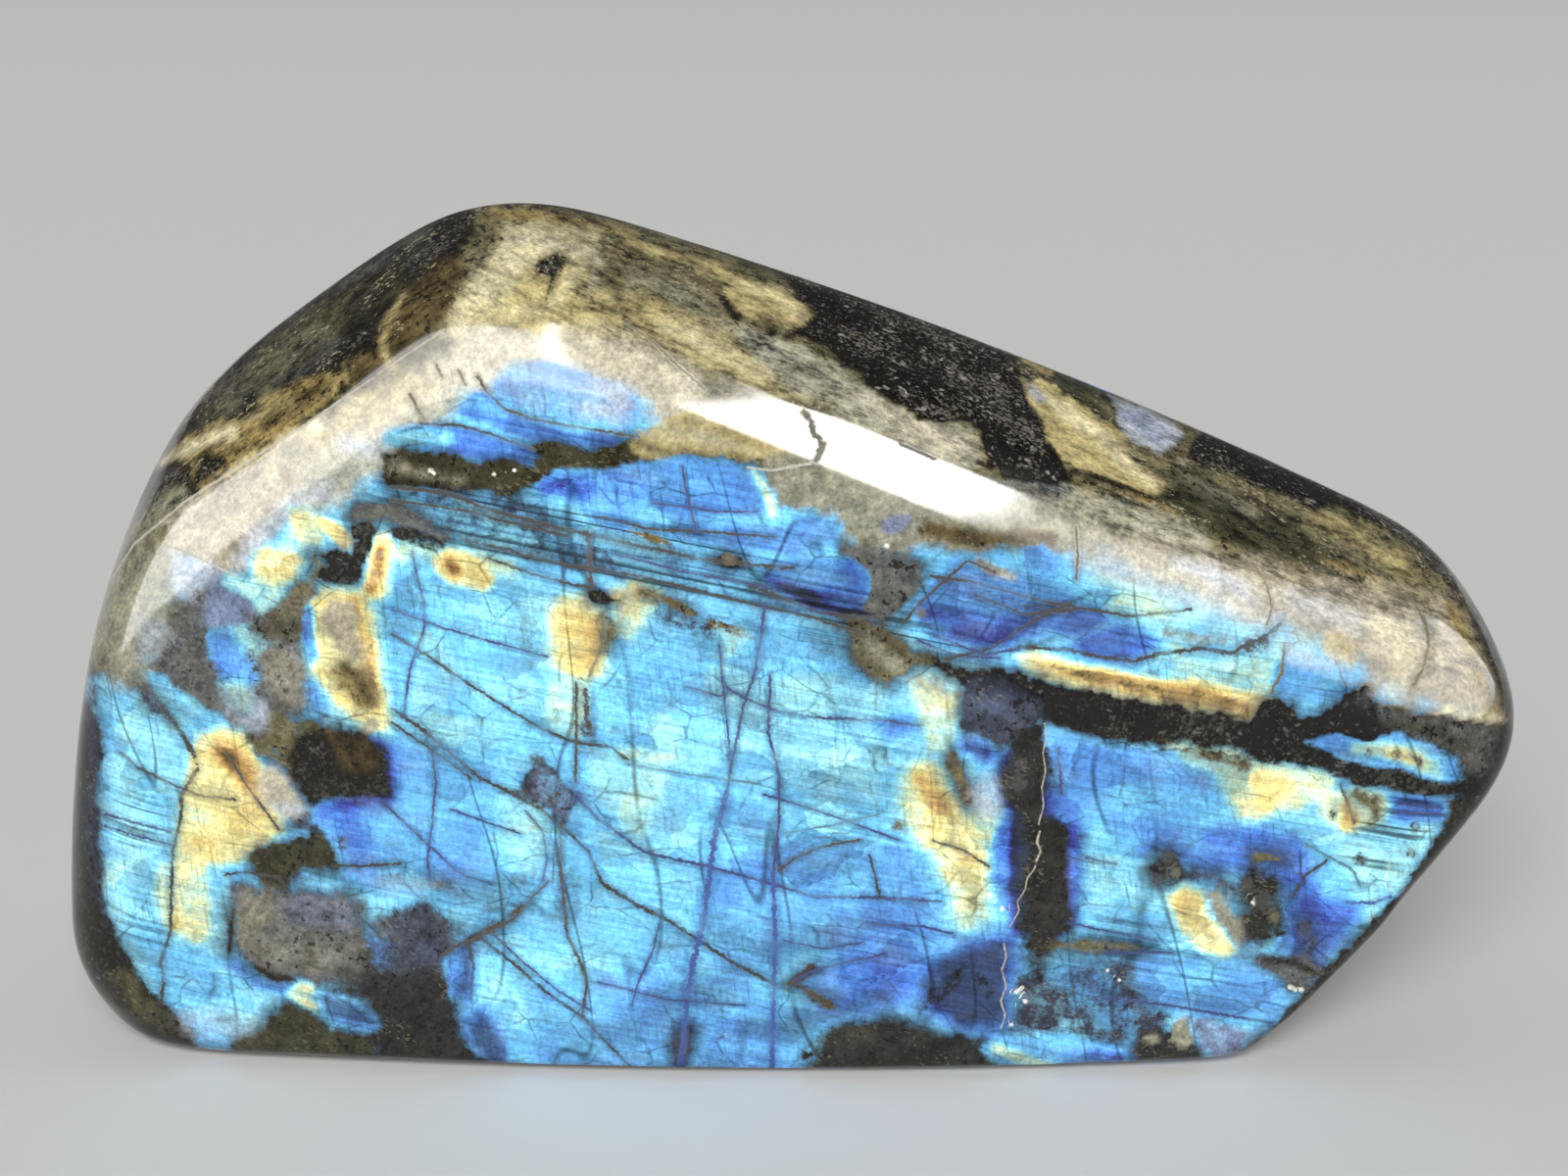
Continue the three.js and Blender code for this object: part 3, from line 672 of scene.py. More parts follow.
    "indigo foot": ("royal", 0.8, 9, [
        (474, 1040), (494, 1030), (512, 1060), (520, 1092), (502, 1088), (484, 1066)]),
    "tan arc": ("brown", 0.7, 3, [
        (462, 970, 1), (486, 956, 2), (512, 942, 2), (536, 922, 2), (548, 904, 1)]),

    # Under the crest, and on to the black band.
    "crest blue": ("azure", 1, 6, [
        (506, 394), (518, 378), (544, 371), (576, 376), (612, 388), (640, 398), (652, 418), (640, 436),
        (600, 432), (560, 428), (530, 418), (512, 408)]),
    # The frost over the crest blue is a painted reflection of the pale surroundings.
    "crest blue haze": ("frost", 0.85, 12, [(610, 394, 8), (634, 404, 13), (634, 422, 10), (600, 416, 7)]),
    "crest blue veil": ("frost", 0.3, 12, [
        (506, 394), (518, 378), (544, 371), (576, 376), (612, 388), (652, 418), (600, 430), (540, 416)]),
    "royal streak one": ("royal", 0.9, 4, [
        (470, 414), (490, 402), (512, 420), (540, 428), (576, 440), (606, 442), (634, 450), (622, 458),
        (596, 456), (566, 450), (540, 448), (514, 438), (490, 430), (472, 424)]),
    "royal streak one start": ("azure", 0.9, 5, [(484, 408, 4), (500, 412, 5), (514, 422, 4)]),
    "royal streak two": ("royal", 1, 4, [
        (396, 448), (414, 436), (444, 436), (474, 438), (502, 447), (532, 453), (548, 463), (558, 468),
        (540, 473), (518, 470), (498, 470), (478, 465), (448, 460), (416, 459)]),
    "royal streak two start": ("ice", 0.9, 8, [(400, 448, 6), (424, 448, 8), (450, 448, 7)]),
    "streak shadow": ("dark olive", 1, 4, [
        (542, 454), (566, 452), (600, 459), (626, 460), (644, 450), (672, 455), (668, 470), (640, 479),
        (600, 480), (566, 478), (548, 472), (560, 467)]),
    "olive tongue": ("tan", 0.9, 5, [
        (650, 440), (690, 424), (716, 415), (752, 430), (794, 450), (834, 468), (800, 475), (760, 473),
        (720, 468), (692, 468), (664, 470), (648, 456)]),
    "olive tongue light": ("bronze", 0.5, 8, [(700, 430, 6), (740, 440, 5), (790, 456, 4)]),
    "olive tongue shade": ("olive", 0.85, 7, [
        (652, 452, 6), (690, 464, 5), (740, 468, 6), (790, 471, 5), (822, 470, 3)]),
    "olive strip": ("dark olive", 1, 6, [
        (392, 466), (420, 460), (452, 463), (482, 471), (520, 473), (552, 476), (578, 481), (562, 492),
        (540, 499), (510, 502), (480, 498), (450, 499), (420, 497), (394, 491)]),
    "olive strip light": ("grey", 0.6, 6, [(402, 476, 6), (432, 484, 5), (470, 490, 4)]),
    "lamella ground": ("slate", 0.3, 12, [
        (400, 500), (470, 502), (540, 508), (600, 532), (700, 556), (760, 580), (840, 620), (860, 640),
        (780, 622), (700, 602), (620, 588), (540, 572), (470, 556), (410, 530)]),
    "blue lens": ("azure", 1, 5, [
        (545, 496), (570, 482), (620, 482), (654, 475), (690, 470), (742, 472), (766, 485), (780, 505),
        (786, 523), (760, 522), (740, 520), (700, 522), (660, 520), (622, 528), (590, 516), (560, 506)]),
    "blue lens royal": ("royal", 0.7, 10, [(600, 498, 7), (624, 498, 10), (644, 504, 7)]),
    "blue lens violet": ("indigo", 0.75, 8, [(558, 496, 6), (580, 496, 8), (594, 500, 7)]),
    "lens rim": ("gold", 0.75, 4, [(768, 482, 2), (778, 496, 3), (786, 514, 4), (788, 524, 3)]),
    "under lens": ("azure", 1, 5, [
        (598, 520), (640, 528), (690, 536), (740, 538), (790, 540), (832, 528), (858, 534), (850, 558),
        (812, 562), (764, 558), (712, 552), (650, 540), (610, 534)]),
    "grey tongue": ("grey", 0.95, 11, [
        (776, 470), (832, 452), (872, 462), (912, 474), (960, 488), (1010, 500), (1060, 508), (1094, 520),
        (1110, 552), (1062, 566), (1020, 556), (984, 562), (950, 556), (920, 566), (880, 560), (856, 550),
        (850, 530), (822, 522), (794, 520), (786, 500)]),
    "grey tongue light": ("beige", 0.3, 8, [(796, 490, 6), (836, 492, 8), (880, 506, 8), (930, 516, 5)]),
    "grey tongue brown": ("brown", 0.95, 6, [
        (948, 540, 8), (976, 546, 9), (1006, 550, 8), (1040, 546, 8), (1070, 548, 7)]),
    "grey tongue blue": ("lilac", 0.85, 4, [(908, 536, 7), (924, 532, 6)]),
    "tongue foot": ("smoke", 1, 11, [
        (856, 552), (884, 560), (920, 566), (944, 580), (938, 604), (912, 616), (900, 640), (880, 620),
        (884, 590), (862, 570)]),
    "violet run": ("azure", 1, 5, [
        (776, 582), (806, 574), (840, 570), (866, 572), (884, 584), (886, 604), (876, 620), (846, 610),
        (812, 600)]),
    "violet run edge": ("indigo", 0.6, 9, [(866, 578, 5), (878, 596, 6), (870, 614, 5), (846, 608, 4)]),
    "night run": ("night", 0.8, 4, [
        (784, 590, 2), (808, 602, 5), (832, 614, 6), (856, 624, 4), (884, 628, 3)]),
    "blue by haze": ("azure", 1, 5, [
        (1048, 560), (1064, 558), (1078, 572), (1074, 588), (1056, 586), (1046, 574)]),
    "mid royal": ("azure", 1, 8, [
        (940, 616), (956, 590), (976, 572), (1000, 584), (1040, 590), (1080, 602), (1100, 612), (1076, 630),
        (1060, 652), (1036, 652), (1010, 664), (980, 660), (950, 650)]),
    "mid royal deep": ("royal", 1, 7, [
        (946, 626, 5), (974, 630, 8), (1010, 640, 8), (1044, 636, 8), (1066, 630, 6)]),
    "mid violet": ("indigo", 0.8, 6, [(976, 644, 5), (1006, 650, 6), (1028, 650, 5)]),
    "mid beige": ("beige", 0.9, 4, [(998, 574, 4), (1014, 582, 6), (1034, 590, 4)]),
    "right royal": ("royal", 1, 5, [
        (1074, 640), (1090, 624), (1116, 621), (1130, 632), (1114, 641), (1090, 647)]),
    "right royal low": ("royal", 0.95, 6, [
        (1094, 660), (1120, 646), (1150, 638), (1176, 640), (1182, 654), (1164, 666), (1140, 671),
        (1110, 668)]),
    "right royal haze": ("azure", 0.8, 7, [(1130, 604, 6), (1150, 612, 6), (1160, 640, 6)]),
    "teal top": ("ice", 0.95, 6, [
        (1158, 604), (1190, 616), (1230, 628), (1264, 640), (1286, 648), (1266, 660), (1230, 662),
        (1194, 664), (1182, 648), (1150, 630), (1130, 618)]),
    "bevel teal haze": ("ice", 0.4, 14, [(1120, 580, 6), (1170, 604, 8), (1220, 622, 8), (1264, 640, 4)]),
    "teal top grey": ("grey", 0.5, 7, [(1190, 646, 5), (1220, 652, 6), (1256, 654, 5)]),
    "teal": ("ice", 1, 5, [
        (1160, 684), (1184, 668), (1212, 664), (1250, 668), (1280, 660), (1306, 652), (1310, 672),
        (1300, 696), (1286, 710), (1250, 702), (1210, 698), (1180, 698)]),
    "teal pale": ("seafoam", 0.9, 6, [(1216, 684, 7), (1250, 684, 9), (1284, 680, 9), (1292, 700, 6)]),
    "blue by teal": ("azure", 0.7, 7, [
        (1306, 682), (1322, 668), (1352, 678), (1386, 684), (1394, 700), (1372, 708), (1340, 713),
        (1304, 710)]),
    "frost by teal": ("frost", 0.7, 12, [(1316, 666, 5), (1336, 672, 6), (1356, 678, 4)]),
    "blue chip": ("sky", 1, 3, [(1312, 724), (1330, 716), (1348, 722), (1340, 734), (1322, 736)]),
    "gold run": ("lemon", 1, 4, [
        (1036, 668), (1060, 664), (1092, 674), (1130, 684), (1180, 692), (1230, 698), (1276, 706),
        (1296, 716), (1284, 736), (1250, 734), (1212, 727), (1176, 720), (1146, 716), (1108, 706),
        (1078, 697), (1048, 686)]),
    "gold run gold": ("orange", 1, 4, [
        (1056, 676, 2), (1100, 688, 5), (1160, 700, 7), (1220, 711, 8), (1270, 721, 4)]),
    "gold run core": ("bronze", 0.5, 4, [
        (1074, 680, 3), (1104, 688, 5), (1160, 700, 5), (1210, 710, 5), (1264, 720, 4)]),
    "band shade": ("charcoal", 1, 8, [(1050, 716, 8), (1090, 734, 10), (1140, 748, 10), (1190, 758, 7)]),
    "black band": ("soot", 1, 3, [
        (936, 670), (976, 679), (1012, 685), (1040, 688), (1060, 694), (1100, 704), (1140, 714),
        (1180, 720), (1240, 727), (1273, 734), (1293, 717), (1317, 720), (1324, 734), (1340, 734),
        (1360, 720), (1373, 707), (1397, 704), (1407, 720), (1440, 725), (1490, 730), (1530, 742),
        (1536, 780), (1520, 814), (1490, 815), (1440, 806), (1407, 800), (1373, 793), (1340, 793),
        (1300, 785), (1250, 775), (1200, 764), (1150, 752), (1100, 741), (1060, 729), (1030, 715),
        (1000, 704), (970, 696)]),
    "band end": ("smoke", 0.8, 8, [
        (1404, 722), (1450, 730), (1492, 734), (1524, 746), (1520, 790), (1500, 792), (1486, 770),
        (1456, 756), (1420, 744)]),
    "band middle": ("dark olive", 0.8, 5, [(1420, 738, 4), (1460, 746, 5), (1500, 766, 6)]),
    "teal lens": ("azure", 1, 4, [
        (1334, 758), (1362, 750), (1400, 756), (1424, 748), (1452, 760), (1476, 766), (1490, 786),
        (1486, 799), (1460, 796), (1430, 786), (1400, 779), (1368, 773)]),
    "teal lens pale": ("seafoam", 0.9, 5, [(1384, 764, 4), (1408, 764, 6), (1440, 772, 9), (1470, 788, 6)]),
    "teal lens lemon": ("lemon", 1, 4, [(1418, 768, 4), (1438, 774, 7), (1454, 782, 5)]),
    "olive knot": ("olive", 1, 10, [
        (862, 628), (884, 632), (910, 646), (930, 664), (950, 680), (926, 688), (904, 704), (880, 680),
        (866, 656)]),
    "olive knot light": ("grey", 0.8, 6, [(884, 650, 6), (902, 672, 8), (920, 680, 6)]),
    "column top": ("seafoam", 1, 7, [
        (930, 700), (976, 712), (974, 744), (966, 768), (946, 764), (944, 736)]),
    "column oval": ("tan", 0.8, 8, [
        (918, 692), (940, 688), (964, 694), (980, 708), (966, 716), (944, 711)]),
    "slate above": ("slate", 1, 12, [
        (978, 704), (1010, 696), (1042, 704), (1060, 716), (1060, 738), (1044, 750), (1020, 762),
        (1000, 764), (984, 748), (978, 726)]),
    "slate light": ("lilac", 0.25, 8, [(1000, 716, 5), (1024, 724, 6), (1040, 736, 4)]),

    # The gold column, the dark band beside it and the foot below them.
    "gold column": ("lemon", 0.9, 10, [
        (922, 798), (936, 782), (952, 780), (964, 800), (984, 828), (1014, 832), (1016, 848), (1004, 868),
        (1002, 904), (1002, 936), (986, 948), (966, 936), (968, 904), (960, 878), (936, 854), (920, 824)]),
    "gold column orange": ("orange", 1, 7, [(940, 796, 5), (948, 808, 8), (962, 826, 7)]),
    "gold column yellow": ("gold", 0.7, 8, [(960, 842, 8), (984, 850, 9), (988, 872, 8)]),
    "gold column foot": ("seafoam", 0.9, 7, [(992, 930, 7), (1004, 944, 6)]),
    "grey by column": ("olive", 1, 4, [(970, 770, 5), (974, 784, 6), (982, 800, 7), (988, 816, 6)]),
    "lilac by gold": ("frost", 0.6, 9, [
        (992, 796), (1010, 790), (1022, 802), (1024, 822), (1018, 838), (1002, 836), (990, 818)]),
    "night spot": ("indigo", 0.8, 9, [(990, 760, 5), (1002, 766, 7), (1006, 772, 5)]),
    "dark band": ("night", 1, 11, [
        (1026, 776), (1044, 762), (1062, 776), (1066, 810), (1076, 836), (1094, 842), (1096, 880),
        (1092, 936), (1080, 946), (1040, 944), (1030, 900), (1028, 862), (1036, 830), (1028, 806)]),
    "dark band upper": ("slate", 0.5, 10, [(1030, 784, 5), (1046, 784, 8), (1040, 802, 8)]),
    "dark band body": ("charcoal", 1, 13, [
        (1036, 742), (1060, 740), (1074, 768), (1076, 802), (1090, 828), (1098, 858), (1095, 902),
        (1091, 948), (1064, 964), (1046, 944), (1037, 906), (1046, 862), (1034, 822), (1027, 786)]),
    "dark band foot": ("charcoal", 0.8, 10, [
        (1040, 944), (1074, 946), (1074, 968), (1068, 986), (1060, 1002), (1050, 990), (1042, 968)]),
    "royal by band": ("royal", 0.8, 10, [
        (1064, 812), (1080, 808), (1100, 822), (1106, 840), (1086, 838), (1070, 828)]),
    "indigo by band": ("indigo", 0.9, 4, [(1094, 846, 3), (1096, 880, 4), (1094, 920, 4)]),
    "royal left of band": ("royal", 1, 5, [(1024, 850, 4), (1022, 872, 5), (1022, 896, 4)]),
    "navy": ("night", 0.6, 14, [
        (940, 1000), (976, 968), (1010, 956), (1032, 960), (1030, 1000), (1032, 1042), (1010, 1054),
        (976, 1044), (950, 1030)]),
    "navy smoke": ("olive black", 0.7, 6, [(940, 1030, 5), (956, 1014, 7), (984, 990, 7), (1012, 1010, 8)]),
    "slate right": ("slate", 0.55, 14, [
        (1030, 990), (1060, 992), (1100, 984), (1140, 974), (1166, 984), (1166, 1040), (1156, 1066),
        (1110, 1062), (1060, 1052), (1030, 1056)]),
    "slate right blue": ("royal", 0.4, 10, [(1090, 1000, 10), (1120, 1010, 14), (1140, 1040, 10)]),
    "green streak": ("olive", 0.85, 5, [(1074, 966, 4), (1110, 966, 7), (1150, 966, 7), (1174, 970, 3)]),
    "periwinkle": ("royal", 0.8, 12, [
        (820, 1002), (850, 986), (892, 974), (930, 974), (950, 986), (922, 1020), (880, 1036), (850, 1032),
        (834, 1012)]),
    "violet low": ("indigo", 0.4, 10, [(840, 1028, 6), (876, 1024, 8), (916, 1004, 6)]),
    "royal low": ("royal", 0.6, 12, [(770, 1040, 10), (800, 1048, 14), (840, 1040, 8)]),
    "rust smudge": ("brown", 0.95, 3, [(806, 1004, 3), (818, 996, 4), (828, 988, 3)]),
    "rust smudge two": ("brown", 0.95, 3, [(816, 1008, 3), (832, 1018, 5), (850, 1028, 4)]),
    "olive foot": ("charcoal", 1, 9, [
        (812, 1072), (830, 1052), (862, 1046), (900, 1042), (944, 1050), (1000, 1062), (1008, 1080),
        (1034, 1098), (810, 1098)]),
    "olive foot light": ("olive", 0.2, 8, [(824, 1066, 5), (850, 1056, 7), (884, 1058, 8)]),
    "bright foot": ("azure", 0.9, 5, [
        (1004, 1072), (1020, 1061), (1060, 1060), (1100, 1062), (1140, 1070), (1162, 1080), (1140, 1092),
        (1100, 1096), (1040, 1094)]),
    "bright foot royal": ("royal", 0.95, 5, [(1116, 1078, 5), (1140, 1080, 5)]),
    "bright foot lemon": ("seafoam", 1, 4, [(1016, 1070, 3), (1040, 1080, 5), (1074, 1090, 4)]),
    "low olive": ("charcoal", 1, 5, [
        (1164, 1056), (1184, 1046), (1212, 1060), (1226, 1068), (1228, 1092), (1190, 1096), (1160, 1084)]),
    "mineral": ("grey", 1, 2, [
        (1200, 1038), (1212, 1036), (1216, 1048), (1218, 1062), (1206, 1070), (1192, 1063), (1195, 1050)]),
    "mineral two": ("grey", 0.8, 2, [(1168, 1058), (1180, 1054), (1184, 1064), (1174, 1068)]),

    # The right end of the colour face.
    "right field": ("azure", 1, 10, [
        (1072, 752), (1120, 762), (1200, 776), (1236, 792), (1244, 830), (1200, 850), (1150, 850),
        (1110, 830), (1090, 800)]),
    "right sky": ("sky", 0.5, 12, [
        (1110, 880), (1160, 890), (1180, 910), (1200, 940), (1190, 960), (1120, 944), (1104, 920)]),
    "right sky two": ("sky", 0.8, 12, [(1150, 812, 10), (1200, 822, 14), (1230, 830, 10)]),
    "yellow zone": ("lemon", 0.8, 8, [
        (1196, 760), (1240, 768), (1290, 780), (1340, 788), (1360, 796), (1352, 816), (1316, 822),
        (1298, 822), (1284, 838), (1268, 836), (1256, 812), (1236, 788), (1206, 774)]),
    "yellow zone green": ("olive", 0.6, 6, [(1190, 760, 4), (1226, 768, 5), (1270, 782, 4)]),
    "yellow zone gold": ("gold", 1, 6, [(1288, 798, 8), (1306, 800, 9), (1290, 816, 7)]),
    "gold two": ("lemon", 0.8, 5, [
        (1346, 828), (1360, 808), (1386, 808), (1412, 812), (1418, 826), (1410, 838), (1390, 846),
        (1376, 854), (1358, 842)]),
    "gold two tan": ("olive", 0.7, 6, [(1384, 812, 3), (1402, 820, 7), (1404, 832, 5)]),
    "gold two orange": ("orange", 1, 4, [(1374, 824, 4), (1378, 838, 6), (1374, 846, 4)]),
    "blue corner": ("royal", 0.9, 4, [
        (1420, 812), (1450, 815), (1476, 822), (1478, 834), (1460, 842), (1424, 836)]),
    "ice corner": ("ice", 1, 9, [
        (1360, 852), (1400, 850), (1440, 846), (1466, 842), (1452, 868), (1436, 890), (1412, 920),
        (1396, 934), (1380, 920), (1386, 898), (1368, 878)]),
    "violet haze one": ("indigo", 0.5, 9, [(1170, 866, 5), (1190, 858, 6), (1212, 872, 7), (1236, 884, 8)]),
    "right royal patch": ("royal", 0.9, 11, [
        (1226, 852), (1248, 844), (1290, 850), (1324, 862), (1332, 880), (1336, 912), (1318, 916),
        (1306, 892), (1270, 886), (1244, 880)]),
    "spot one": ("charcoal", 0.85, 10, [
        (1170, 886), (1180, 869), (1196, 865), (1206, 880), (1209, 898), (1194, 904), (1178, 902)]),
    "spot halo": ("slate", 0.8, 6, [(1218, 892, 6), (1240, 894, 8), (1254, 904, 6)]),
    "spot two": ("charcoal", 0.85, 11, [
        (1260, 906), (1268, 892), (1286, 884), (1300, 896), (1304, 914), (1320, 926), (1316, 946),
        (1300, 956), (1286, 968), (1266, 968), (1258, 952), (1264, 930)]),
    "spot two lid": ("olive", 1, 3, [(1282, 874, 3), (1296, 874, 5), (1308, 878, 3)]),
    "spot two grey": ("grey", 0.9, 9, [
        (1220, 910), (1244, 904), (1258, 926), (1270, 950), (1264, 972), (1250, 966), (1240, 946),
        (1230, 930)]),
    "crescent": ("lemon", 1, 8, [
        (1196, 918), (1208, 906), (1222, 914), (1228, 932), (1246, 950), (1256, 968), (1248, 979),
        (1228, 970), (1212, 954), (1202, 938)]),
    "crescent gold": ("gold", 0.8, 7, [(1210, 918, 6), (1218, 938, 8), (1234, 956, 8), (1248, 970, 5)]),
    "crescent core": ("tan", 0.7, 5, [(1212, 920, 3), (1222, 940, 4), (1236, 956, 4)]),
    "purple": ("indigo", 0.8, 11, [
        (1320, 930), (1344, 916), (1368, 920), (1382, 930), (1372, 952), (1352, 974), (1338, 994),
        (1322, 976), (1318, 950)]),
    "purple slate": ("slate", 0.7, 8, [(1330, 940, 6), (1334, 962, 8), (1330, 980, 6)]),
    "wedge": ("smoke", 0.9, 7, [
        (1266, 978), (1300, 975), (1332, 982), (1346, 990), (1334, 1012), (1314, 1014), (1302, 1000),
        (1286, 990)]),
    "wedge dark": ("olive black", 0.9, 3, [(1290, 979, 2), (1320, 982, 4), (1340, 992, 3)]),
    "wedge blue": ("azure", 1, 3, [(1298, 970), (1306, 957), (1318, 960), (1314, 972)]),
    "low azure": ("azure", 1, 8, [
        (1162, 982), (1200, 975), (1240, 984), (1268, 986), (1296, 1000), (1312, 1020), (1300, 1040),
        (1250, 1038), (1210, 1032), (1168, 1020)]),
    "low green": ("seafoam", 0.15, 5, [(1212, 1004, 3), (1232, 992, 5), (1262, 984, 4)]),
    "low periwinkle": ("lilac", 0.85, 7, [
        (1196, 1030), (1250, 1042), (1296, 1046), (1272, 1068), (1240, 1084), (1226, 1072), (1214, 1044)]),
    "low slate": ("slate", 0.6, 12, [(1160, 1020, 7), (1170, 1040, 9), (1190, 1040, 6)]),

    # The blue field in the middle of the colour face.
    "field violet": ("royal", 0.2, 14, [(408, 600, 6), (412, 640, 10), (404, 690, 6)]),
    "field top": ("ice", 0.3, 16, [(440, 600, 12), (500, 640, 16), (540, 620, 12)]),
    "field left": ("ice", 0.45, 16, [(430, 720, 12), (480, 750, 16), (520, 730, 12)]),
    "field green": ("lemon", 0.6, 7, [(400, 562, 4), (430, 560, 6), (460, 568, 6), (520, 580, 4)]),
    "field deep": ("azure", 0.5, 20, [(410, 780, 10), (430, 840, 12), (470, 880, 16), (500, 800, 12)]),
    "field grey": ("smoke", 0.4, 14, [(400, 890, 8), (440, 900, 10), (500, 920, 10), (530, 900, 8)]),
    "field pale one": ("seafoam", 0.35, 8, [
        (522, 832), (540, 828), (553, 850), (550, 880), (536, 892), (520, 872)]),
    "field pale two": ("ice", 1, 9, [
        (600, 772), (644, 764), (680, 776), (672, 812), (656, 850), (630, 838), (604, 800)]),
    "field pale green": ("lemon", 0.55, 5, [(636, 770, 3), (658, 768, 5), (682, 772, 4)]),
    "field pale three": ("ice", 1, 5, [(664, 732), (680, 728), (692, 746), (690, 766), (670, 764)]),
    "field pale four": ("ice", 0.4, 12, [
        (596, 910), (640, 916), (660, 940), (644, 980), (604, 984), (588, 940)]),
    "field pale five": ("ice", 0.6, 9, [
        (788, 690), (850, 694), (900, 708), (900, 730), (850, 722), (800, 714)]),
    "field pale six": ("ice", 0.1, 16, [(820, 780, 16), (880, 790, 20), (900, 760, 12)]),
    "field royal": ("royal", 0.8, 7, [(896, 738), (924, 734), (930, 748), (906, 754)]),
    "field low": ("azure", 0.9, 22, [
        (540, 1070), (560, 1020), (700, 1000), (830, 1040), (800, 1098), (560, 1098)]),
    "field low right": ("azure", 0.95, 16, [
        (800, 866), (880, 870), (930, 880), (960, 920), (970, 960), (900, 970), (830, 960), (740, 1000),
        (730, 900)]),
    "field low royal": ("royal", 0.45, 16, [(900, 930, 12), (930, 960, 12), (860, 960, 10)]),
    "field slate": ("slate", 0.4, 10, [(730, 950, 8), (770, 972, 9), (800, 990, 6)]),
    "field dull one": ("smoke", 0.35, 12, [(596, 720, 4), (604, 760, 6)]),
    "field dull two": ("slate", 0.3, 16, [(560, 860, 8), (580, 900, 10), (566, 940, 8)]),
    "field dull three": ("slate", 0.3, 16, [(830, 650, 8), (860, 670, 10), (880, 690, 6)]),
    "field dull four": ("slate", 0.35, 14, [(640, 620, 8), (720, 640, 10), (800, 660, 8)]),
    "gold middle": ("lemon", 1, 9, [
        (562, 628), (576, 612), (600, 612), (616, 624), (618, 660), (612, 688), (586, 690), (566, 676)]),
    "gold middle core": ("gold", 0.8, 9, [(588, 632, 9), (594, 656, 12), (590, 676, 10)]),
    "gold middle orange": ("orange", 0.5, 8, [(604, 640, 4), (604, 668, 6), (592, 682, 4)]),
    "gold middle right": ("lemon", 0.8, 7, [
        (624, 604), (652, 596), (672, 606), (664, 626), (640, 650), (626, 640)]),
    "gold middle tan": ("tan", 0.7, 8, [(630, 608, 5), (646, 606, 7), (640, 624, 6)]),
    "gold middle rust": ("brown", 0.8, 4, [(618, 630, 4), (624, 644, 6), (620, 660, 3)]),
    "gold middle foot": ("seafoam", 0.9, 6, [
        (560, 700), (572, 692), (598, 692), (600, 722), (588, 750), (570, 748), (558, 730)]),
    "gold spot": ("gold", 1, 5, [
        (444, 572), (460, 562), (486, 574), (500, 590), (494, 602), (464, 594), (448, 584)]),
    "gold spot core": ("amber", 1, 4, [(458, 574, 4), (464, 582, 5)]),
    "crack knot": ("soot", 1, 2, [(601, 602), (614, 604), (632, 613), (620, 619), (604, 614)]),
    "diamond": ("slate", 0.45, 3, [
        (547, 768), (562, 780), (576, 800), (588, 812), (580, 836), (572, 846), (558, 830), (544, 822),
        (528, 810)]),
    "diamond violet": ("lilac", 0.3, 4, [
        (547, 776), (562, 786), (574, 802), (584, 814), (576, 834), (560, 826), (540, 812)]),
    "notch": ("dark olive", 1, 3, [
        (690, 1052), (700, 1040), (709, 1050), (703, 1074), (696, 1098), (688, 1084)]),
    "lamella gold": ("bronze", 0.9, 3, [(640, 540, 2), (660, 547, 4), (682, 554, 3)]),
    "lamella knot": ("soot", 1, 2, [(724, 572), (740, 564), (756, 568), (762, 578), (742, 581)]),
    "small green": ("lemon", 0.3, 5, [(734, 640, 4), (752, 648, 7), (744, 664, 6)]),
    "olive dashes": ("olive", 0.95, 3, [(654, 604, 2), (680, 612, 3), (706, 626, 3)]),
    "olive dashes two": ("bronze", 0.6, 3, [(727, 636, 3), (745, 642, 3), (764, 650, 4)]),

    # Places where the flash is painted darker, many of them along the foot of the colour face.
    "dim navy": ("dim", 0.95, 14, [
        (940, 1004), (976, 968), (1016, 956), (1032, 962), (1032, 1042), (1010, 1054), (976, 1044),
        (950, 1030)]),
    "dim low royal": ("dim", 0.75, 12, [
        (760, 1050, 10), (800, 1048, 16), (850, 1034, 12), (900, 1016, 10)]),
    "dim foot": ("dim", 0.85, 8, [
        (474, 1040), (494, 1030), (512, 1060), (522, 1094), (500, 1092), (482, 1066)]),
    "dim by dark foot": ("dim", 0.85, 8, [
        (324, 1014), (350, 1018), (376, 1030), (386, 1046), (360, 1050), (336, 1040)]),
    "dim by crack": ("dim", 0.8, 7, [(458, 982, 4), (476, 966, 6), (474, 1000, 8), (468, 1020, 6)]),
    "dim night spot": ("dim", 0.8, 7, [(990, 760, 6), (1004, 768, 8)]),
    "dim middle right": ("dim", 0.5, 10, [
        (940, 620), (960, 590), (1000, 580), (1060, 592), (1100, 606), (1130, 600), (1170, 640),
        (1150, 668), (1080, 660), (1000, 668), (950, 650)]),
    "dim network": ("dim", 0.9, 5, [
        (968, 600, 3), (1000, 612, 5), (1040, 620, 4), (1090, 616, 4), (1112, 606, 3)]),
    "dim network two": ("dim", 0.9, 5, [(1040, 622, 3), (1056, 640, 4), (1050, 660, 4), (1076, 652, 3)]),
    "dim by haze": ("dim", 0.4, 6, [(1054, 566, 7), (1066, 578, 7)]),
    "dim under lens": ("dim", 0.4, 10, [
        (620, 528, 5), (680, 546, 9), (740, 550, 9), (800, 552, 10), (850, 546, 10)]),
    "dim violet run": ("dim", 0.35, 8, [(790, 584, 6), (830, 588, 12), (866, 598, 12)]),
    "dim teal lens": ("dim", 0.4, 7, [(1350, 762, 6), (1400, 768, 8), (1450, 778, 9), (1480, 790, 5)]),
    "dim gold two": ("dim", 0.6, 6, [(1362, 820, 6), (1384, 828, 10), (1406, 824, 8)]),
    "dim mottled": ("dim", 0.45, 12, [(200, 640, 14), (240, 650, 14), (280, 680, 12), (310, 706, 12)]),
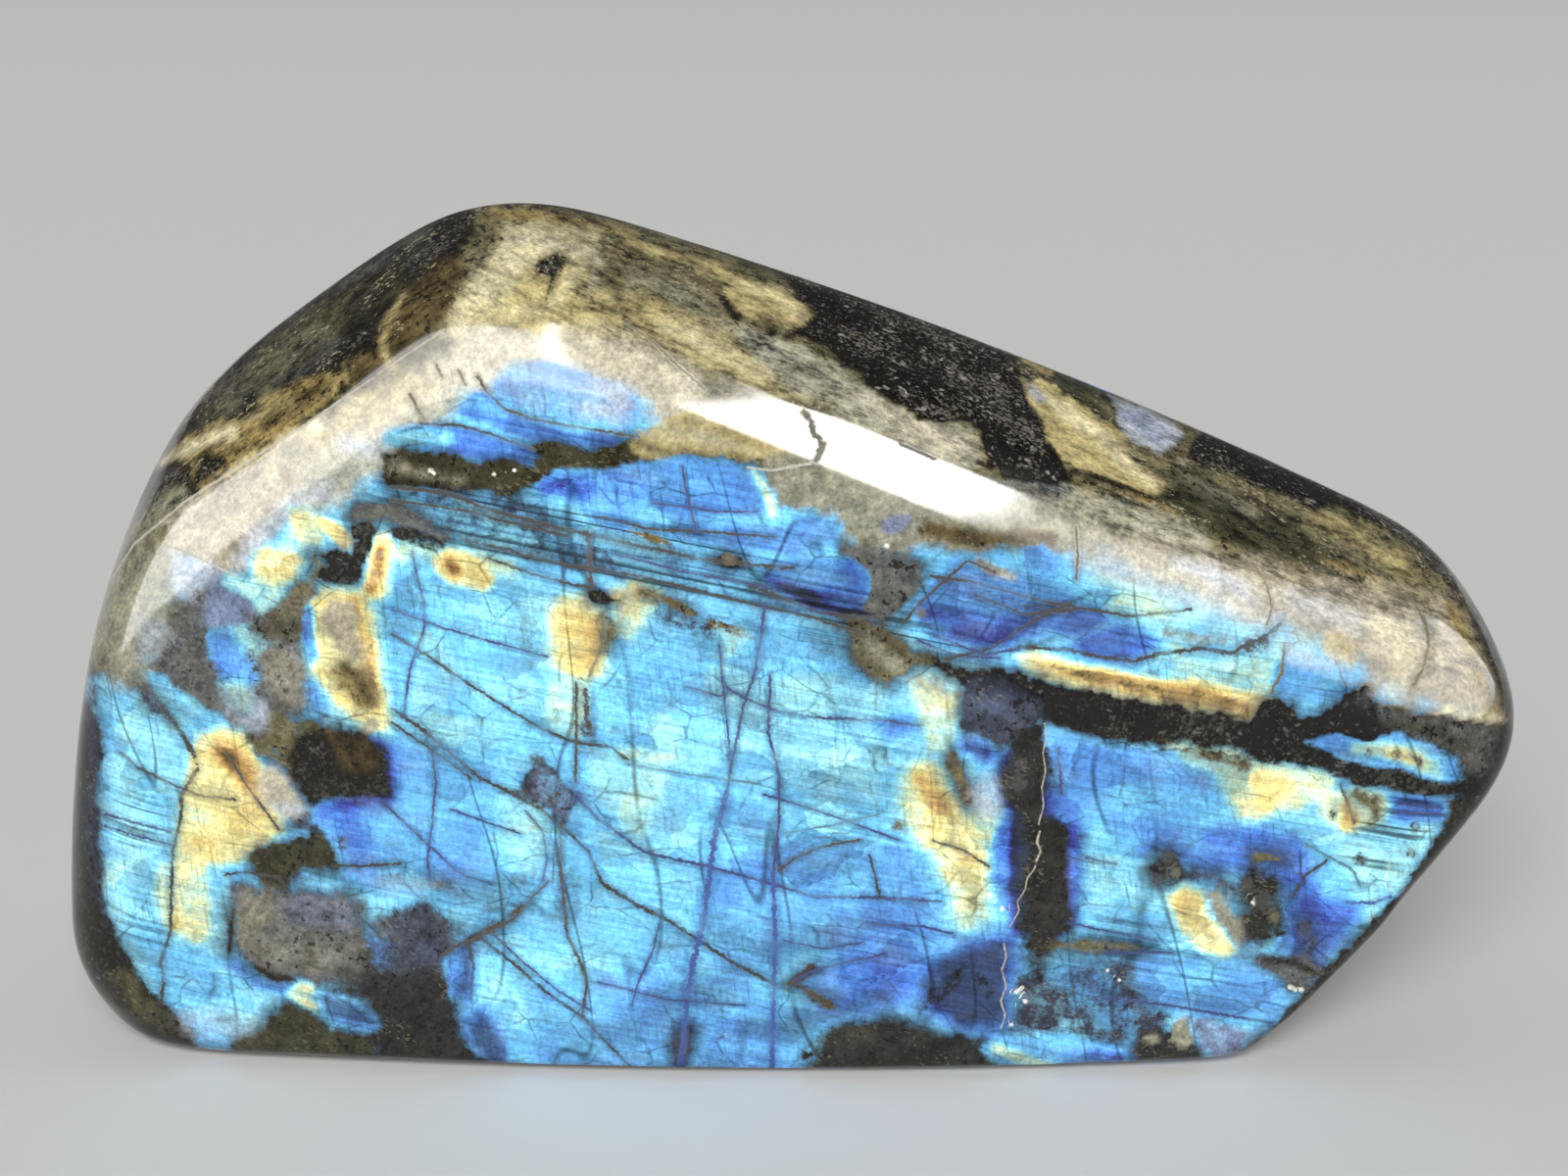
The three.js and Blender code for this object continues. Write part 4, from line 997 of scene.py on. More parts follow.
    "dim sky strip": ("dim", 0.4, 6, [(160, 694, 5), (184, 724, 7), (210, 742, 5)]),
    "dim wedge": ("dim", 0.6, 4, [(1304, 968, 5), (1312, 962, 5)]),
    "dim bright foot": ("dim", 0.55, 6, [(1020, 1084, 8), (1070, 1080, 8), (1120, 1084, 8)]),
    "dim low right": ("dim", 0.25, 16, [(1180, 1000, 16), (1230, 1010, 18), (1280, 1020, 16)]),
    "dim low middle": ("dim", 0.5, 22, [
        (560, 1080, 10), (640, 1050, 20), (720, 1010, 20), (800, 960, 20), (900, 940, 20)]),
    "dim low left": ("dim", 0.35, 18, [(500, 950, 12), (540, 1000, 20), (560, 1050, 18), (640, 1060, 16)]),
    "dim diamond": ("dim", 0.35, 6, [(552, 790, 8), (566, 812, 12), (572, 830, 8)]),
    "dim oval": ("dim", 0.25, 8, [(330, 640, 6), (350, 700, 10), (376, 720, 8)]),
    "dim field right": ("dim", 0.3, 18, [(830, 880, 16), (900, 900, 20), (940, 940, 14), (800, 940, 14)]),
    "dim tips": ("dim", 0.35, 6, [(310, 534, 8), (330, 548, 7), (350, 550, 5)]),
    "dim lamellae": ("dim", 0.4, 14, [
        (400, 500), (470, 502), (540, 508), (600, 526), (700, 552), (760, 566), (860, 600), (900, 636),
        (860, 640), (780, 618), (700, 600), (620, 584), (540, 570), (470, 556), (410, 530)]),
    "dim left foot": ("dim", 0.2, 16, [(200, 1020, 16), (240, 1040, 16), (270, 1030, 14)]),
    "dim foot of field": ("dim", 0.35, 14, [
        (540, 1086, 10), (620, 1084, 12), (700, 1080, 14), (780, 1080, 14)]),
    "dim slate right": ("dim", 0.5, 14, [
        (1050, 1010, 12), (1100, 1010, 16), (1150, 1020, 16), (1120, 1040, 14)]),
    "dim column": ("dim", 0.45, 8, [(990, 930, 8), (1004, 944, 8), (940, 740, 8), (958, 760, 8)]),
    "dim foot lemon": ("dim", 0.5, 5, [(306, 1010, 5), (320, 1020, 5)]),
    "dim top row": ("dim", 0.3, 10, [(1320, 690, 8), (1350, 694, 10), (1380, 700, 8)]),
    "dim notch": ("dim", 0.8, 6, [(699, 1060, 8), (698, 1088, 7)]),
}

# Cracks and cleavage lines: the tint, the half width and the points that each runs through, in pixels of
# the photograph. Those that cross or run close together are in different families. Glints are pale lines:
# the one along the left ridge, over a real crease, and the one along the lower edge of the bevel lens are
# painted highlights, and those down the fissure beside the dark band are full of dust.
CRACK_TINTS = {
    "soot": "#171513",
    "navy": "#1e2c58",
    "violet": "#24407a",
    "rust": "#2e2a28",
    "teal": "#3f6c80",
    "pale": "#e2dfd4",
    # Pale grey, for fissures full of dust and for painted highlights along edges.
    "dust and glint": "#a09c8e",
    "olive": "#4b4630",
}
CRACKS = {
    "along": [
        ("soot", 2.1, [(400, 497), (457, 503), (490, 517), (547, 533), (620, 550), (713, 570), (810, 580)]),
        ("soot", 1.8, [(470, 550), (513, 560), (580, 577), (647, 587), (730, 607), (827, 630), (880, 646)]),
        ("soot", 1.3, [(610, 527), (663, 540), (727, 543), (790, 548)]),
        ("soot", 1.6, [(429, 432), (468, 434), (498, 442), (545, 459)]),
        ("soot", 1.5, [
            (400, 647), (436, 669), (483, 701), (518, 723), (554, 744), (587, 758), (623, 762),
            (640, 775)]),
        ("navy", 1.2, [(400, 622), (451, 640), (502, 655), (558, 670)]),
        ("navy", 1.5, [(741, 701), (763, 714), (795, 726), (831, 732), (903, 735), (938, 741)]),
        ("soot", 1.9, [
            (400, 723), (436, 748), (465, 773), (490, 794), (522, 809), (554, 827), (576, 845), (601, 870),
            (615, 902), (651, 924), (687, 942), (745, 981), (788, 1003), (813, 1006)]),
        ("navy", 1.7, [
            (587, 812), (608, 834), (658, 870), (723, 884), (788, 902), (831, 915), (903, 916),
            (960, 920)]),
        ("soot", 1.6, [(490, 956), (526, 985), (558, 1013), (594, 1037), (615, 1060), (644, 1089)]),
        ("navy", 1.3, [(387, 815), (438, 863), (470, 892), (502, 902)]),
        ("navy", 1.4, [(813, 999), (831, 990), (867, 981), (903, 974)]),
        ("navy", 1.2, [(780, 811), (834, 827), (887, 846), (917, 857)]),
        ("rust", 1.4, [(952, 858), (982, 867), (1009, 884)]),
        ("navy", 1.2, [(887, 943), (941, 945), (973, 953)]),
        ("soot", 1.5, [(121, 766), (140, 783), (182, 803), (206, 812), (240, 816)]),
        ("navy", 1.4, [(105, 830), (140, 840), (174, 849)]),
        ("soot", 1.5, [(230, 892), (250, 890), (284, 895), (294, 908)]),
        ("soot", 1.6, [(339, 883), (364, 884), (409, 881)]),
        ("soot", 1.6, [(949, 588), (990, 593), (1066, 614), (1153, 629), (1215, 622)]),
        ("soot", 2.1, [
            (1040, 660), (1090, 663), (1120, 670), (1157, 675), (1183, 667), (1227, 662), (1257, 667),
            (1273, 657), (1290, 650), (1307, 637)]),
        ("navy", 1.2, [(1090, 942), (1120, 948), (1180, 960)]),
        ("navy", 1.8, [(1108, 875), (1138, 882)]),
        ("navy", 1.4, [(1130, 1018), (1194, 1026), (1298, 1044)]),
        ("navy", 1.3, [(1421, 829), (1450, 830), (1477, 832)]),
        ("teal", 1.5, [(1332, 861), (1363, 878), (1380, 887), (1388, 904)]),
        ("violet", 1.5, [(1374, 921), (1402, 921), (1419, 915)]),
        ("rust", 1.5, [(919, 453), (954, 468)]),
        ("soot", 1.7, [(995, 607), (1046, 627), (1093, 623)]),
        ("navy", 1.6, [(937, 654), (976, 669), (1020, 672)]),
    ],
    "across": [
        ("rust", 2.4, [(600, 545), (601, 560), (603, 600)]),
        ("rust", 2.0, [(616, 622), (614, 660), (601, 690)]),
        ("rust", 1.7, [(588, 697), (588, 766), (587, 798)]),
        ("rust", 1.6, [(572, 841), (572, 888), (579, 956), (594, 985), (599, 1003), (594, 1038)]),
        ("navy", 1.3, [(420, 563), (433, 617), (433, 642), (418, 683), (412, 730)]),
        ("navy", 1.6, [(780, 619), (777, 647), (770, 687), (759, 719), (748, 773), (741, 812)]),
        ("violet", 3.2, [
            (741, 812), (730, 848), (725, 888), (716, 949), (705, 992), (701, 1028), (694, 1089)]),
        ("navy", 1.5, [(786, 690), (784, 748), (795, 791), (795, 841), (789, 891)]),
        ("violet", 2.4, [(789, 891), (791, 963), (789, 1035), (788, 1089)]),
        ("navy", 1.4, [(441, 766), (445, 798), (441, 841), (436, 877), (439, 898)]),
        ("navy", 1.2, [(673, 942), (666, 970), (651, 1003), (644, 1028)]),
        ("navy", 1.2, [(536, 827), (554, 848), (558, 877), (554, 898)]),
        ("navy", 1.2, [(696, 476), (702, 510), (711, 543)]),
        ("soot", 1.4, [(887, 873), (893, 894), (898, 916)]),
        ("soot", 2.1, [(478, 963), (483, 985), (480, 1017)]),
        ("soot", 2.6, [(136, 695), (162, 715), (187, 751), (199, 773)]),
        ("soot", 1.9, [
            (201, 785), (186, 810), (184, 837), (176, 871), (175, 910), (174, 951), (164, 982), (167, 1002),
            (164, 1024)]),
        ("rust", 1.4, [(230, 767), (254, 805), (285, 847)]),
        ("navy", 2.0, [(1080, 763), (1083, 809)]),
        ("rust", 2.6, [(820, 420), (827, 430), (830, 443), (840, 453), (833, 470)]),
        ("olive", 1.6, [(1311, 656), (1308, 686), (1297, 708)]),
        ("rust", 1.6, [(1368, 802), (1374, 816), (1382, 839)]),
        ("soot", 1.3, [(1319, 916), (1332, 893), (1354, 878)]),
        ("olive", 1.6, [(1413, 600), (1440, 610), (1453, 633), (1458, 653), (1453, 680), (1440, 703)]),
        ("olive", 1.7, [(418, 402), (433, 428)]),
        ("olive", 1.5, [(445, 371), (452, 386)]),
        ("olive", 1.5, [(468, 378), (475, 394)]),
        ("soot", 1.8, [(923, 634), (940, 614), (987, 572), (1015, 584)]),
        ("soot", 1.6, [(964, 673), (1011, 662), (1054, 634), (1093, 615)]),
        ("olive", 1.4, [(1098, 537), (1100, 565), (1098, 592)]),
        ("olive", 1.5, [(640, 330), (668, 350), (690, 372), (720, 398)]),
    ],
    "beside": [
        ("soot", 1.6, [(400, 510), (447, 517), (480, 522), (507, 530), (580, 547)]),
        ("soot", 1.5, [(500, 570), (547, 587), (587, 597), (604, 600)]),
        ("navy", 1.1, [(663, 513), (697, 517), (733, 522), (773, 522)]),
        ("navy", 1.2, [(630, 566), (700, 584), (790, 600)]),
        ("soot", 2.0, [(763, 597), (797, 610), (830, 623), (863, 630), (900, 630)]),
        ("rust", 1.4, [(487, 382), (495, 398), (514, 417), (545, 428), (591, 436), (652, 446)]),
        ("soot", 1.4, [(400, 737), (425, 755), (451, 772), (480, 794)]),
        ("rust", 1.5, [(795, 888), (809, 877), (838, 864), (877, 857)]),
        ("navy", 1.2, [(505, 955), (532, 980), (571, 1012), (604, 1032)]),
        ("navy", 1.2, [(105, 842), (140, 853), (174, 862)]),
        ("navy", 1.2, [(734, 658), (737, 694), (743, 748), (746, 784)]),
        ("rust", 3.0, [(597, 703), (600, 741)]),
        ("rust", 1.5, [(560, 899), (541, 918), (525, 937), (502, 950), (464, 966), (451, 975)]),
        ("navy", 1.8, [(954, 649), (1005, 668), (1040, 662)]),
        ("navy", 1.2, [(1425, 820), (1470, 824)]),
        ("navy", 1.1, [(1130, 972), (1196, 972)]),
        ("olive", 1.1, [(1253, 573), (1280, 577), (1293, 597), (1298, 620), (1293, 637)]),
        ("navy", 1.1, [(700, 700), (720, 706), (740, 712)]),
        ("teal", 1.1, [(640, 780), (700, 790), (775, 800)]),
        ("teal", 1.1, [(800, 850), (850, 842), (900, 830)]),
        ("navy", 1.1, [(610, 1002), (680, 1020), (760, 1026)]),
        ("navy", 1.1, [(800, 960), (840, 968), (880, 962)]),
        ("navy", 1.1, [(460, 826), (500, 840), (530, 850)]),
    ],
    "glints": [
        # A painted highlight along the left ridge, over a real crease.
        ("dust and glint", 0.9, [
            (95, 660), (104, 605), (137, 555), (187, 513), (252, 471), (314, 432), (391, 378), (448, 340)]),
        # A painted highlight along the lower edge of the bevel lens.
        ("dust and glint", 0.9, [(172, 557), (192, 564), (226, 581), (240, 587)]),
        ("dust and glint", 0.6, [
            (1066, 738), (1068, 752), (1064, 768), (1067, 786), (1063, 804), (1065, 822), (1060, 840)]),
        ("dust and glint", 0.9, [(1061, 848), (1058, 860), (1062, 868), (1057, 880)]),
        ("dust and glint", 0.6, [(1056, 886), (1048, 896), (1046, 908), (1038, 920), (1040, 930), (1030, 946)]),
        ("dust and glint", 0.7, [
            (1024, 962), (1027, 976), (1022, 990), (1027, 1006), (1021, 1022), (1026, 1036), (1021, 1050)]),
        ("dust and glint", 1.0, [(763, 477), (787, 480), (827, 473)]),
    ],
}

# Grains of ore and pits: small round dots, (x, y, radius).
DOTS = {
    "soot": [
        (204, 610, 6), (192, 637, 10), (201, 644, 6), (181, 661, 8), (170, 666, 4), (189, 688, 4),
        (207, 701, 8), (190, 699, 4), (252, 628, 4), (268, 634, 4), (256, 667, 4), (262, 683, 4),
        (264, 706, 4), (304, 728, 4), (332, 732, 3), (304, 748, 4), (294, 637, 3), (284, 690, 3),
        (292, 704, 3), (350, 860, 5), (548, 776, 5), (533, 809, 5), (562, 816, 5), (570, 811, 4),
        (599, 744, 6), (973, 777, 4), (981, 805, 5), (988, 816, 4), (1042, 779, 5), (1039, 800, 7),
        (1192, 875, 6), (1180, 897, 5), (1272, 902, 6), (1289, 920, 8), (1360, 831, 4), (1444, 844, 4),
        (1440, 871, 4), (1389, 877, 5), (1425, 768, 4), (1449, 777, 4), (1397, 768, 3), (1278, 660, 8),
        (1290, 656, 6)],
    "olive": [(917, 843, 5), (940, 626, 4), (744, 570, 5), (1200, 890, 4), (1300, 936, 5)],
    "pale": [
        (905, 557, 2), (1011, 914, 2), (1023, 927, 2), (1038, 1012, 2), (1043, 1008, 1.5), (1046, 1022, 2),
        (1032, 1046, 1.5), (439, 480, 2), (443, 483, 1.5), (504, 484, 1.5), (525, 480, 1.5),
        (1278, 921, 1.5), (1130, 990, 1.5), (1142, 1000, 1.5), (1317, 1007, 2), (1322, 1010, 1.5),
        (1328, 1010, 2)],
}

# Where the edges of the stone's thin sheets show as fine dark lines, and how strongly.
SHEETED = {
    "above the colour": (1.0, [
        (400, 505, 10), (500, 535, 26), (600, 560, 32), (720, 590, 32), (860, 625, 24), (980, 665, 10)]),
    "right of the middle": (0.3, [(780, 700, 40), (860, 760, 60), (880, 830, 50)]),
    "left end": (0.7, [(140, 835, 26)]),
    "left foot": (0.5, [(150, 940, 30)]),
    "right end": (0.8, [(1440, 825, 24), (1400, 870, 30)]),
    "right foot": (0.5, [(1150, 960, 30), (1250, 1020, 30)]),
}


def linear(hex_colour):
    """The linear colour, with alpha 1, of an sRGB hex value."""
    parts = [int(hex_colour[i : i + 2], 16) / 255 for i in (1, 3, 5)]
    return (*[p / 12.92 if p <= 0.04045 else ((p + 0.055) / 1.055) ** 2.4 for p in parts], 1.0)


def smooth(value, start, end):
    """0 at start and 1 at end, with a gentle rise between."""
    share = np.clip((value - start) / (end - start), 0, 1)
    return share * share * (3 - 2 * share)


FAR_OFF = 1e6


def from_run(spots, start, end):
    """The offset of each spot from the run between two points, and how far along the run it is."""
    start = np.array(start, float)
    run = np.array(end, float) - start
    along = np.clip((spots - start) @ run / max(run @ run, 1e-9), 0, 1)
    return spots - start - along[:, None] * run, along


def outside_shape(spots, corners):
    """How far each spot lies outside an outline of (x, y) corners or a run of dabs (x, y, radius).
    Negative inside."""
    closed = len(corners[0]) == 2
    nearest = np.full(len(spots), FAR_OFF)
    inside = np.zeros(len(spots), bool)
    following = corners[1:] + corners[:1] if closed else corners[1:] or corners
    for start, end in zip(corners, following):
        offset, along = from_run(spots, start[:2], end[:2])
        radius = 0 if closed else start[2] + along * (end[2] - start[2])
        nearest = np.minimum(nearest, np.hypot(offset[:, 0], offset[:, 1]) - radius)
        if closed and start[1] != end[1]:
            passes = (start[1] > spots[:, 1]) != (end[1] > spots[:, 1])
            share = (spots[:, 1] - start[1]) / (end[1] - start[1])
            inside ^= passes & (spots[:, 0] < start[0] + share * (end[0] - start[0]))
    return np.where(inside, -nearest, nearest)


def ragged(points, size, seed):
    """Smooth noise from about -1 to 1 at each point, in lumps of this size."""
    moved = Vector((seed, seed, seed))
    return np.array([noise.noise(Vector((*point, 0)[:3]) / size + moved) for point in points])


def lay(flash, body, near, finish, laid):
    """Paints a finish over the spots in near, as fully as laid says."""
    if finish in FLASH:
        flash[near] += (FLASH[finish] - flash[near]) * laid
        body[near, 3] *= 1 - laid
        return
    cover = body[near, 3]
    colour = np.array(linear(BODY[finish])[:3])
    fresh = laid / np.maximum(laid + cover * (1 - laid), 1e-6)
    body[near, :3] += (colour - body[near, :3]) * fresh[:, None]
    body[near, 3] = cover + (1 - cover) * laid


# The face: the marks, painted in their order. A border between two flashes is wide and even, and
# lies mostly outside the mark, while a border of the body colour is narrow, and frayed unless the
# mark is small. Round the darker body colours the flash grows dim. Lengths are in pixels. Each fray
# is how far it reaches, the size of its lumps and its seed.
FRAYS = ((7, 34, 1.5), (5, 13, 7.5), (3, 6, 3.5))
FRAY_REACH = 14
LEAST_FRAYED = 0.2
FULLY_FRAYED = 26
FLASH_FRAYED = 0.5
FLASH_BORDER_OUT = 1.6
FLASH_BORDER_IN = 0.6
UNMARKED_FLASH = FLASH["sky"] + 0.01
DARK_BODY = 0.14
DIM_OUT = 22
DIM_IN = 4
places = three_each(stone_mesh.vertices, "co")
spots = in_photo(places)
fray = sum(most * ragged(spots, size, seed) for most, size, seed in FRAYS)
flash = np.full(len(spots), UNMARKED_FLASH)
dimmed = np.zeros(len(spots))
body = np.zeros((len(spots), 4))
body[:, :3] = linear(BODY["olive"])[:3]
for finish, fullness, border, corners in MARKS.values():
    near = np.ones(len(spots), bool)
    widest_dab = max(corner[2] if len(corner) == 3 else 0 for corner in corners)
    reach = 2 * border + FRAY_REACH + widest_dab
    for axis in (0, 1):
        near &= spots[:, axis] > min(corner[axis] for corner in corners) - reach
        near &= spots[:, axis] < max(corner[axis] for corner in corners) + reach
    outside = outside_shape(spots[near], corners)
    frayed = fray[near] * np.clip(LEAST_FRAYED - outside.min() / FULLY_FRAYED, LEAST_FRAYED, 1)
    laid = fullness * smooth(outside + frayed, border, -border)
    if finish == "dim":
        dimmed[near] = np.maximum(dimmed[near], laid)
        continue
    if finish in FLASH:
        outside += FLASH_FRAYED * frayed
        laid = fullness * smooth(outside, FLASH_BORDER_OUT * border, -FLASH_BORDER_IN * border)
        dimmed[near] *= 1 - laid
    elif max(linear(BODY[finish])[:3]) < DARK_BODY:
        shadow = fullness * smooth(outside + frayed, DIM_OUT, -DIM_IN)
        dimmed[near] = np.maximum(dimmed[near], shadow)
    lay(flash, body, near, finish, laid)

# The sides that the photograph doesn't show carry the same stone: mostly olive and smoke, with
# drifts of beige and black, and the flash in a few patches. Each drift is its finish, its size in
# millimetres, its seed, and the level of its noise at which it begins and is full.
DRIFTS = (
    ("olive", 17, 5.1, 0.0, 0.35),
    ("smoke", 21, 8.4, 0.1, 0.4),
    ("bronze", 12, 3.3, 0.28, 0.5),
    ("beige", 15, 6.6, 0.36, 0.6),
    ("soot", 13, 0.7, 0.34, 0.42),
)
DRIFT_FULLNESS = 0.9
inside = places / MM
everywhere = np.ones(len(places), bool)
far_flash = FLASH["azure"] + 0.05 + 0.34 * ragged(inside, 19, 4.2) + 0.12 * ragged(inside, 6, 1.1)
far_body = np.zeros((len(spots), 4))
far_body[:, :3] = linear(BODY["dark olive"])[:3]
far_body[:, 3] = smooth(ragged(inside, 26, 9.3) + 0.35 * ragged(inside, 9, 2.7), 0.30, 0.02)
for finish, size, seed, begins, full in DRIFTS:
    lumps = ragged(inside, size, seed) + 0.3 * ragged(inside, size / 4, seed)
    cover = far_body[:, 3].copy()
    lay(far_flash, far_body, everywhere, finish, smooth(lumps, begins, full) * DRIFT_FULLNESS)
    if finish != "soot":
        far_body[:, 3] = cover

seen = smooth(seen_share(stone_mesh) + 1.1 * ragged(inside, 7, 4.4), 0.0, 1.6)
flash = far_flash + (flash - far_flash) * seen
body = far_body + (body - far_body) * seen[:, None]


def store(name, values, kind):
    """Keeps a number, vector or colour for each vertex, for the material to read."""
    attribute = stone_mesh.attributes.new(name, kind, "POINT")
    field = {"FLOAT_COLOR": "color", "FLOAT_VECTOR": "vector", "FLOAT": "value"}[kind]
    attribute.data.foreach_set(field, np.ascontiguousarray(values, np.float32).ravel())


store("flash", flash, "FLOAT")
store("dimmed", dimmed * seen, "FLOAT")
store("body", body, "FLOAT_COLOR")

SHEETED_OUT = 25
SHEETED_IN = 15
sheeted = np.zeros(len(spots))
for strength, dabs in SHEETED.values():
    shown = strength * smooth(outside_shape(spots, dabs) + fray, SHEETED_OUT, -SHEETED_IN)
    sheeted = np.maximum(sheeted, shown)
store("sheeted", sheeted * seen, "FLOAT")

# A crack, glint or dot is kept as the offset from it in half widths, which is exact between
# vertices. The third part grows away from it, so that nothing shows halfway between two of them.
CRACK_REACH = 6
CRACK_FADE = 8
CRACK_AWAY = 6
CRACKS["glints"] += [
    (tint, radius, [(x, y), (x, y)]) for tint, dots in DOTS.items() for x, y, radius in dots
]
for family, cracks in CRACKS.items():
    nearest = np.full(len(spots), FAR_OFF)
    offsets = np.zeros((len(spots), 3))
    tints = np.zeros((len(spots), 4))
    for tint, half_width, points in cracks:
        for start, end in zip(points, points[1:]):
            offset, along = from_run(spots, start, end)
            distance = np.hypot(offset[:, 0], offset[:, 1]) - half_width
            closer = distance < nearest
            nearest[closer] = distance[closer]
            offsets[closer, :2] = offset[closer] / half_width
            tints[closer] = linear(CRACK_TINTS[tint])
    offsets[:, 2] = CRACK_AWAY * smooth(nearest, CRACK_REACH, CRACK_REACH + CRACK_FADE)
    offsets[:, 2] += CRACK_AWAY * (1 - seen)
    store(family + " offset", offsets, "FLOAT_VECTOR")
    store(family + " tint", tints, "FLOAT_COLOR")

# Which way the grain of the stone runs: up to the right on the upper left facet, and down to the
# right elsewhere. It is cut across, and so seen as streaks, only on the upper facets.
normals = three_each(stone_mesh.vertex_normals, "vector")
rising = smooth(-normals[:, 0], 0.25, 0.45) * smooth(normals[:, 2], 0.2, 0.5)
store("rising grain", rising, "FLOAT")
store("grainy", smooth(normals[:, 2], 0.42, 0.66), "FLOAT")

# The black ore is softer than the feldspar round it, so the polish leaves it pitted.
PIT_DEPTH = 0.05 * MM
PIT_SIZE = 2.8
BLACKISH = 0.014
BLACK = 0.007
sooty = smooth(body[:, :3].mean(1), BLACKISH, BLACK) * body[:, 3]
pitted = sooty * np.clip(0.5 + 1.4 * ragged(inside, PIT_SIZE, 2.2), 0, 1) * PIT_DEPTH
stone_mesh.vertices.foreach_set("co", (places - normals * pitted[:, None]).ravel())
stone_mesh.update()

# Polished labradorite: a glassy polish over feldspar, so it mirrors lamps sharply and weakly. Under
# it the flash breaks up into plates a few millimetres wide, with fine straight sheets running
# across, and the dull parts are streaky grains with pale flecks. The real sheets are far too thin to
# see, so each line stands for a bundle of them. All sizes are in millimetres. Each pattern is how
# far it dips to the right in degrees, its length along that, its width, its detail and roughness.
LABRADORITE_IOR = 1.56
MIRRORED_SHARE = 0.26
PLATE = 5.0
SMALL_PLATE = 1.9
CELL = 3.4
SMALL_CELL = 1.5
CRYSTAL = 0.5
SHEET_DIP = 11
LENGTHENED = (0.62, 0.62, 1.0)
WARM_TINT = (1.14, 1.0, 0.8, 1.0)
PATTERNS = {
    "drift": (0, 8.0, 8.0, 6.0, 0.6),
    "patches": (0, 14.0, 14.0, 2.0, 0.5),
    "pockets": (0, 6.0, 6.0, 3.0, 0.5),
    "clouds": (0, 4.0, 4.0, 4.0, 0.6),
    "crack strength": (0, 3.5, 3.5, 3.0, 0.55),
    "fine": (0, 0.45, 0.45, 4.0, 0.7),
    "mottle": (0, 2.2, 2.2, 8.0, 0.75),
    "pits": (0, 0.7, 0.7, 2.0, 0.6),
    "sheets": (SHEET_DIP, 40.0, 0.5, 5.0, 0.75),
    "lamellae": (SHEET_DIP, 60.0, 1.2, 1.0, 0.4),
    "fine sheets": (SHEET_DIP, 9.0, 0.3, 4.0, 0.7),
    "uprights": (84, 3.5, 0.3, 3.0, 0.6),
    "dullness": (SHEET_DIP, 5.0, 2.6, 6.0, 0.6),
    "veins": (80, 36.0, 9.0, 1.0, 0.4),
    "rising": (-33, 3.0, 0.6, 8.0, 0.77),
    "falling": (21, 3.0, 0.6, 8.0, 0.77),
    "rising flecks": (-33, 0.6, 0.26, 3.0, 0.6),
    "falling flecks": (21, 0.6, 0.26, 3.0, 0.6),
}

labradorite.use_nodes = True
tree = labradorite.node_tree
shader = tree.nodes["Principled BSDF"]
shader.inputs["IOR"].default_value = LABRADORITE_IOR
shader.inputs["Specular IOR Level"].default_value = MIRRORED_SHARE

spot = add(tree, "ShaderNodeTexCoord").outputs["Object"]
per_mm = add(
    tree, "ShaderNodeMapping", {"Vector": spot, "Scale": (1 / MM, 1 / MM, 1 / MM)}
).outputs[0]
painted = {
    name: add(tree, "ShaderNodeAttribute", attribute_name=name).outputs
    for name in ("flash", "dimmed", "body", "sheeted", "rising grain", "grainy")
}
pattern = {}
for name, (dip, length, width, detail, roughness) in PATTERNS.items():
    level = add(
        tree,
        "ShaderNodeVectorRotate",
        {"Vector": per_mm, "Angle": -math.radians(dip)},
        rotation_type="Y_AXIS",
    ).outputs[0]
    scale = (1 / length, 1 / length, 1 / width)
    sized = add(tree, "ShaderNodeMapping", {"Vector": level, "Scale": scale}).outputs[0]
    inputs = {"Vector": sized, "Scale": 1.0, "Detail": detail, "Roughness": roughness}
    pattern[name] = add(tree, "ShaderNodeTexNoise", inputs).outputs["Fac"]

# The plates: blocks cut along the sheets, each with its own hue and brightness, and cells between
# fine cracks. Each bend is how many millimetres it reaches, how many there are to a millimetre,
# and its detail.
along_sheets = add(
    tree,
    "ShaderNodeVectorRotate",
    {"Vector": per_mm, "Angle": -math.radians(SHEET_DIP)},
    rotation_type="Y_AXIS",
).outputs[0]
longer = add(
    tree, "ShaderNodeMapping", {"Vector": along_sheets, "Scale": LENGTHENED}
).outputs[0]
bent, gently_bent = (
    add(
        tree,
        "ShaderNodeVectorMath",
        {
            0: add(
                tree, "ShaderNodeTexNoise", {"Vector": per_mm, "Scale": often, "Detail": detail}
            ).outputs["Color"],
            1: (far, far, far),
            2: longer,
        },
        operation="MULTIPLY_ADD",
    ).outputs[0]
    for far, often, detail in ((2.6, 0.35, 5.0), (1.1, 0.3, 1.5))
)
cells = {}
for name, size, feature, measured in (
    ("plate", PLATE, "F1", bent),
    ("small plate", SMALL_PLATE, "F1", bent),
    ("crystal", CRYSTAL, "F1", bent),
    ("cell", CELL, "DISTANCE_TO_EDGE", gently_bent),
    ("small cell", SMALL_CELL, "DISTANCE_TO_EDGE", gently_bent),
):
    inputs = {"Vector": measured, "Scale": 1 / size}
    cells[name] = add(tree, "ShaderNodeTexVoronoi", inputs, feature=feature).outputs
picks = {
    name: add(tree, "ShaderNodeSeparateColor", {"Color": cells[name]["Color"]}).outputs
    for name in ("plate", "small plate", "crystal")
}

